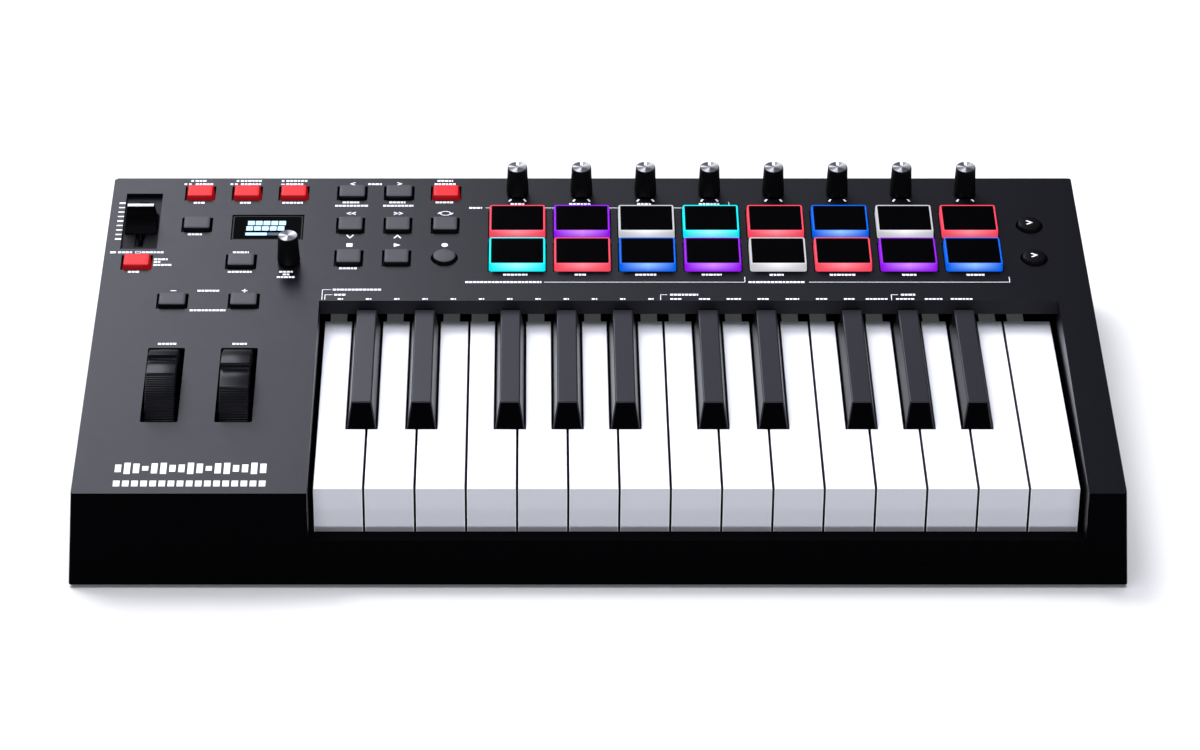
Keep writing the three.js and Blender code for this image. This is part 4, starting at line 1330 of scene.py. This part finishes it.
def back_sockets():
    socket_plate()
    for index, x in enumerate(JACKS_X):
        bm = bmesh.new()
        ring(bm, x, (5.6, 3.4), 0.9, 6)
        ring(bm, x, (4.6, 3.3), 1.6)
        piece_from(bm, numbered("jack_nut", index), "root", [NICKEL])
    bm = bmesh.new()
    ring(bm, DIN_X, (8.6, 7.6), 0.6)
    piece_from(bm, "din_ring", "root", [NICKEL])
    bm = bmesh.new()
    floor = SOCKET_FACE_Y - 9
    for step in range(5):
        angle = math.radians(180 + 45 * step)
        px = DIN_X + 5.2 * math.cos(angle)
        pz = SOCKET_Z - 5.2 * math.sin(angle)
        loops = [
            [(cx, y, cz) for cx, cz, _ in circle(radius, 0, 16, (px, pz))]
            for y, radius in ((floor - 0.2, 0.9), (floor + 5, 0.9), (floor + 5.4, 0.6))
        ]
        skin(bm, loops)
    piece_from(bm, "din_contacts", "root", [GOLD])
    bm = bmesh.new()
    back = (SOCKET_FACE_Y - 13.2, SOCKET_FACE_Y - 3)
    block(bm, (USB_X - 2.8, USB_X + 2.8), back, (SOCKET_Z - 1.6, SOCKET_Z + 1.6))
    piece_from(bm, "usb_tongue", "root", [PRINT_WHITE])
    bm = bmesh.new()
    for side in (-1, 1):
        for offset in (-1.25, 1.25):
            z = sorted((SOCKET_Z + side * 1.55, SOCKET_Z + side * 1.9))
            block(bm, (USB_X + offset - 0.5, USB_X + offset + 0.5), (back[0], back[1] - 1), z)
    piece_from(bm, "usb_contacts", "root", [GOLD])
    bm = bmesh.new()
    wide, tall, face = 5.1, 4.75, SOCKET_FACE_Y
    for x in ((USB_X - wide, USB_X - 4.3), (USB_X + 4.3, USB_X + wide)):
        block(bm, x, (face - 11, face + 0.5), (SOCKET_Z - tall, SOCKET_Z + tall))
    for z in ((SOCKET_Z - tall, SOCKET_Z - 3.95), (SOCKET_Z + 3.95, SOCKET_Z + tall)):
        block(bm, (USB_X - wide, USB_X + wide), (face - 11, face + 0.5), z)
    piece_from(bm, "usb_shell", "root", [NICKEL])


# ---- Stage ----


HORIZON_GLOW = (0.4, 0.03)
CEILING_GLOW = (0.0, 0.1)


def floor():
    """A pale floor with a faint light of its own, like a lit table."""
    bm = bmesh.new()
    bmesh.ops.create_grid(bm, x_segments=8, y_segments=8, size=9)
    mesh = bpy.data.meshes.new("floor")
    bm.to_mesh(mesh)
    bm.free()
    material = moulded("pale floor", (0.75, 0.745, 0.7), 0.85, grain=4, depth=0.01, mottle=0.01)
    mesh.materials.append(glowing(material, 0.06))
    piece = bpy.data.objects.new("floor", mesh)
    SCENE.collection.objects.link(piece)
    piece.visible_diffuse = False


def area_light(name, place, target, size, energy, colour=(1, 1, 1)):
    data = bpy.data.lights.new(name, "AREA")
    data.shape = "RECTANGLE"
    data.size, data.size_y = size
    data.energy = energy
    data.color = colour
    light = bpy.data.objects.new(name, data)
    SCENE.collection.objects.link(light)
    light.location = place
    light.rotation_euler = (Vector(target) - Vector(place)).to_track_quat("-Z", "Y").to_euler()
    return light


def sun_light(name, towards, strength, softness):
    data = bpy.data.lights.new(name, "SUN")
    data.energy = strength
    data.angle = math.radians(softness)
    light = bpy.data.objects.new(name, data)
    SCENE.collection.objects.link(light)
    light.rotation_euler = Vector(towards).to_track_quat("-Z", "Y").to_euler()
    light.visible_glossy = False


def dim_room():
    """A dim studio: pale at the horizon, dark above it, and a little brighter overhead."""
    world = bpy.data.worlds.new("room")
    world.use_nodes = True
    nodes, links = world.node_tree.nodes, world.node_tree.links
    towards = split_coordinates(nodes, links, "Generated")
    low_band = mapped(nodes, links, towards["Z"], *HORIZON_GLOW, 0.1, 0.35)
    behind = mapped(nodes, links, towards["Y"], 0.1, 1, -0.3, 0.1)
    horizon = product(nodes, links, low_band, behind)
    overhead = mapped(nodes, links, towards["Z"], *CEILING_GLOW, 0.5, 0.95)
    total = nodes.new("ShaderNodeMath")
    total.operation = "ADD"
    links.new(horizon, total.inputs[0])
    links.new(overhead, total.inputs[1])
    links.new(total.outputs[0], nodes["Background"].inputs["Strength"])
    SCENE.world = world


def camera():
    data = bpy.data.cameras.new("camera")
    data.sensor_width = 36
    data.lens = 133.8
    data.shift_x = 0.0548
    data.clip_end = 100
    eye = bpy.data.objects.new("camera", data)
    SCENE.collection.objects.link(eye)
    eye.location = (-0.02937, -1.80642, 1.19134)
    eye.rotation_euler = (math.radians(90 - 32.63), 0, 0)
    SCENE.camera = eye


def stage():
    SCENE.view_settings.view_transform = "Standard"
    floor()
    dim_room()
    cool = (0.86, 0.88, 1.0)
    sun_light("key", (0.36, -0.3, -1.0), 1.1, 16)
    overhead = area_light("overhead", (-0.2, 0.25, 2.2), (0, 0, 0), (3.2, 2.6), 95, cool)
    overhead.visible_glossy = False
    fill = area_light("fill", (0, -2.2, 0.36), (0, 0, 0.04), (3.0, 0.5), 30, cool)
    fill.visible_glossy = False
    area_light("softbox", (-0.7, 1.05, 0.95), (-0.15, 0, 0.05), (1.15, 1.0), 9.8, cool)
    area_light("softbox_tail", (-0.22, 1.05, 0.95), (-0.15, 0, 0.05), (1.1, 1.0), 1.3, cool)
    area_light("strip", (0.1, -0.6, 1.6), (0, 0, 0.05), (1.8, 0.12), 3.5, cool)
    camera()


def build():
    NODES["keybed_frame"].data.materials.clear()
    NODES["keybed_frame"].data.materials.append(FRAME_PLASTIC)
    casing()
    for index in range(WHITE_KEYS):
        white_key(index)
    for index in range(BLACK_KEYS):
        black_key(index)
    for index in range(PAD_COUNT):
        row, column = divmod(index, PAD_COUNT // 2)
        pad(index, PAD_LIGHTS[row][column])
    buttons()
    for index in range(KNOB_COUNT):
        knob(numbered("knob", index), True)
    knob("encoder_knob", False)
    fader_cap()
    wheel("pitch_wheel")
    wheel("mod_wheel")
    display()
    print_marks()
    inside_board()
    back_sockets()
    stage()


build()

bpy.context.view_layer.update()
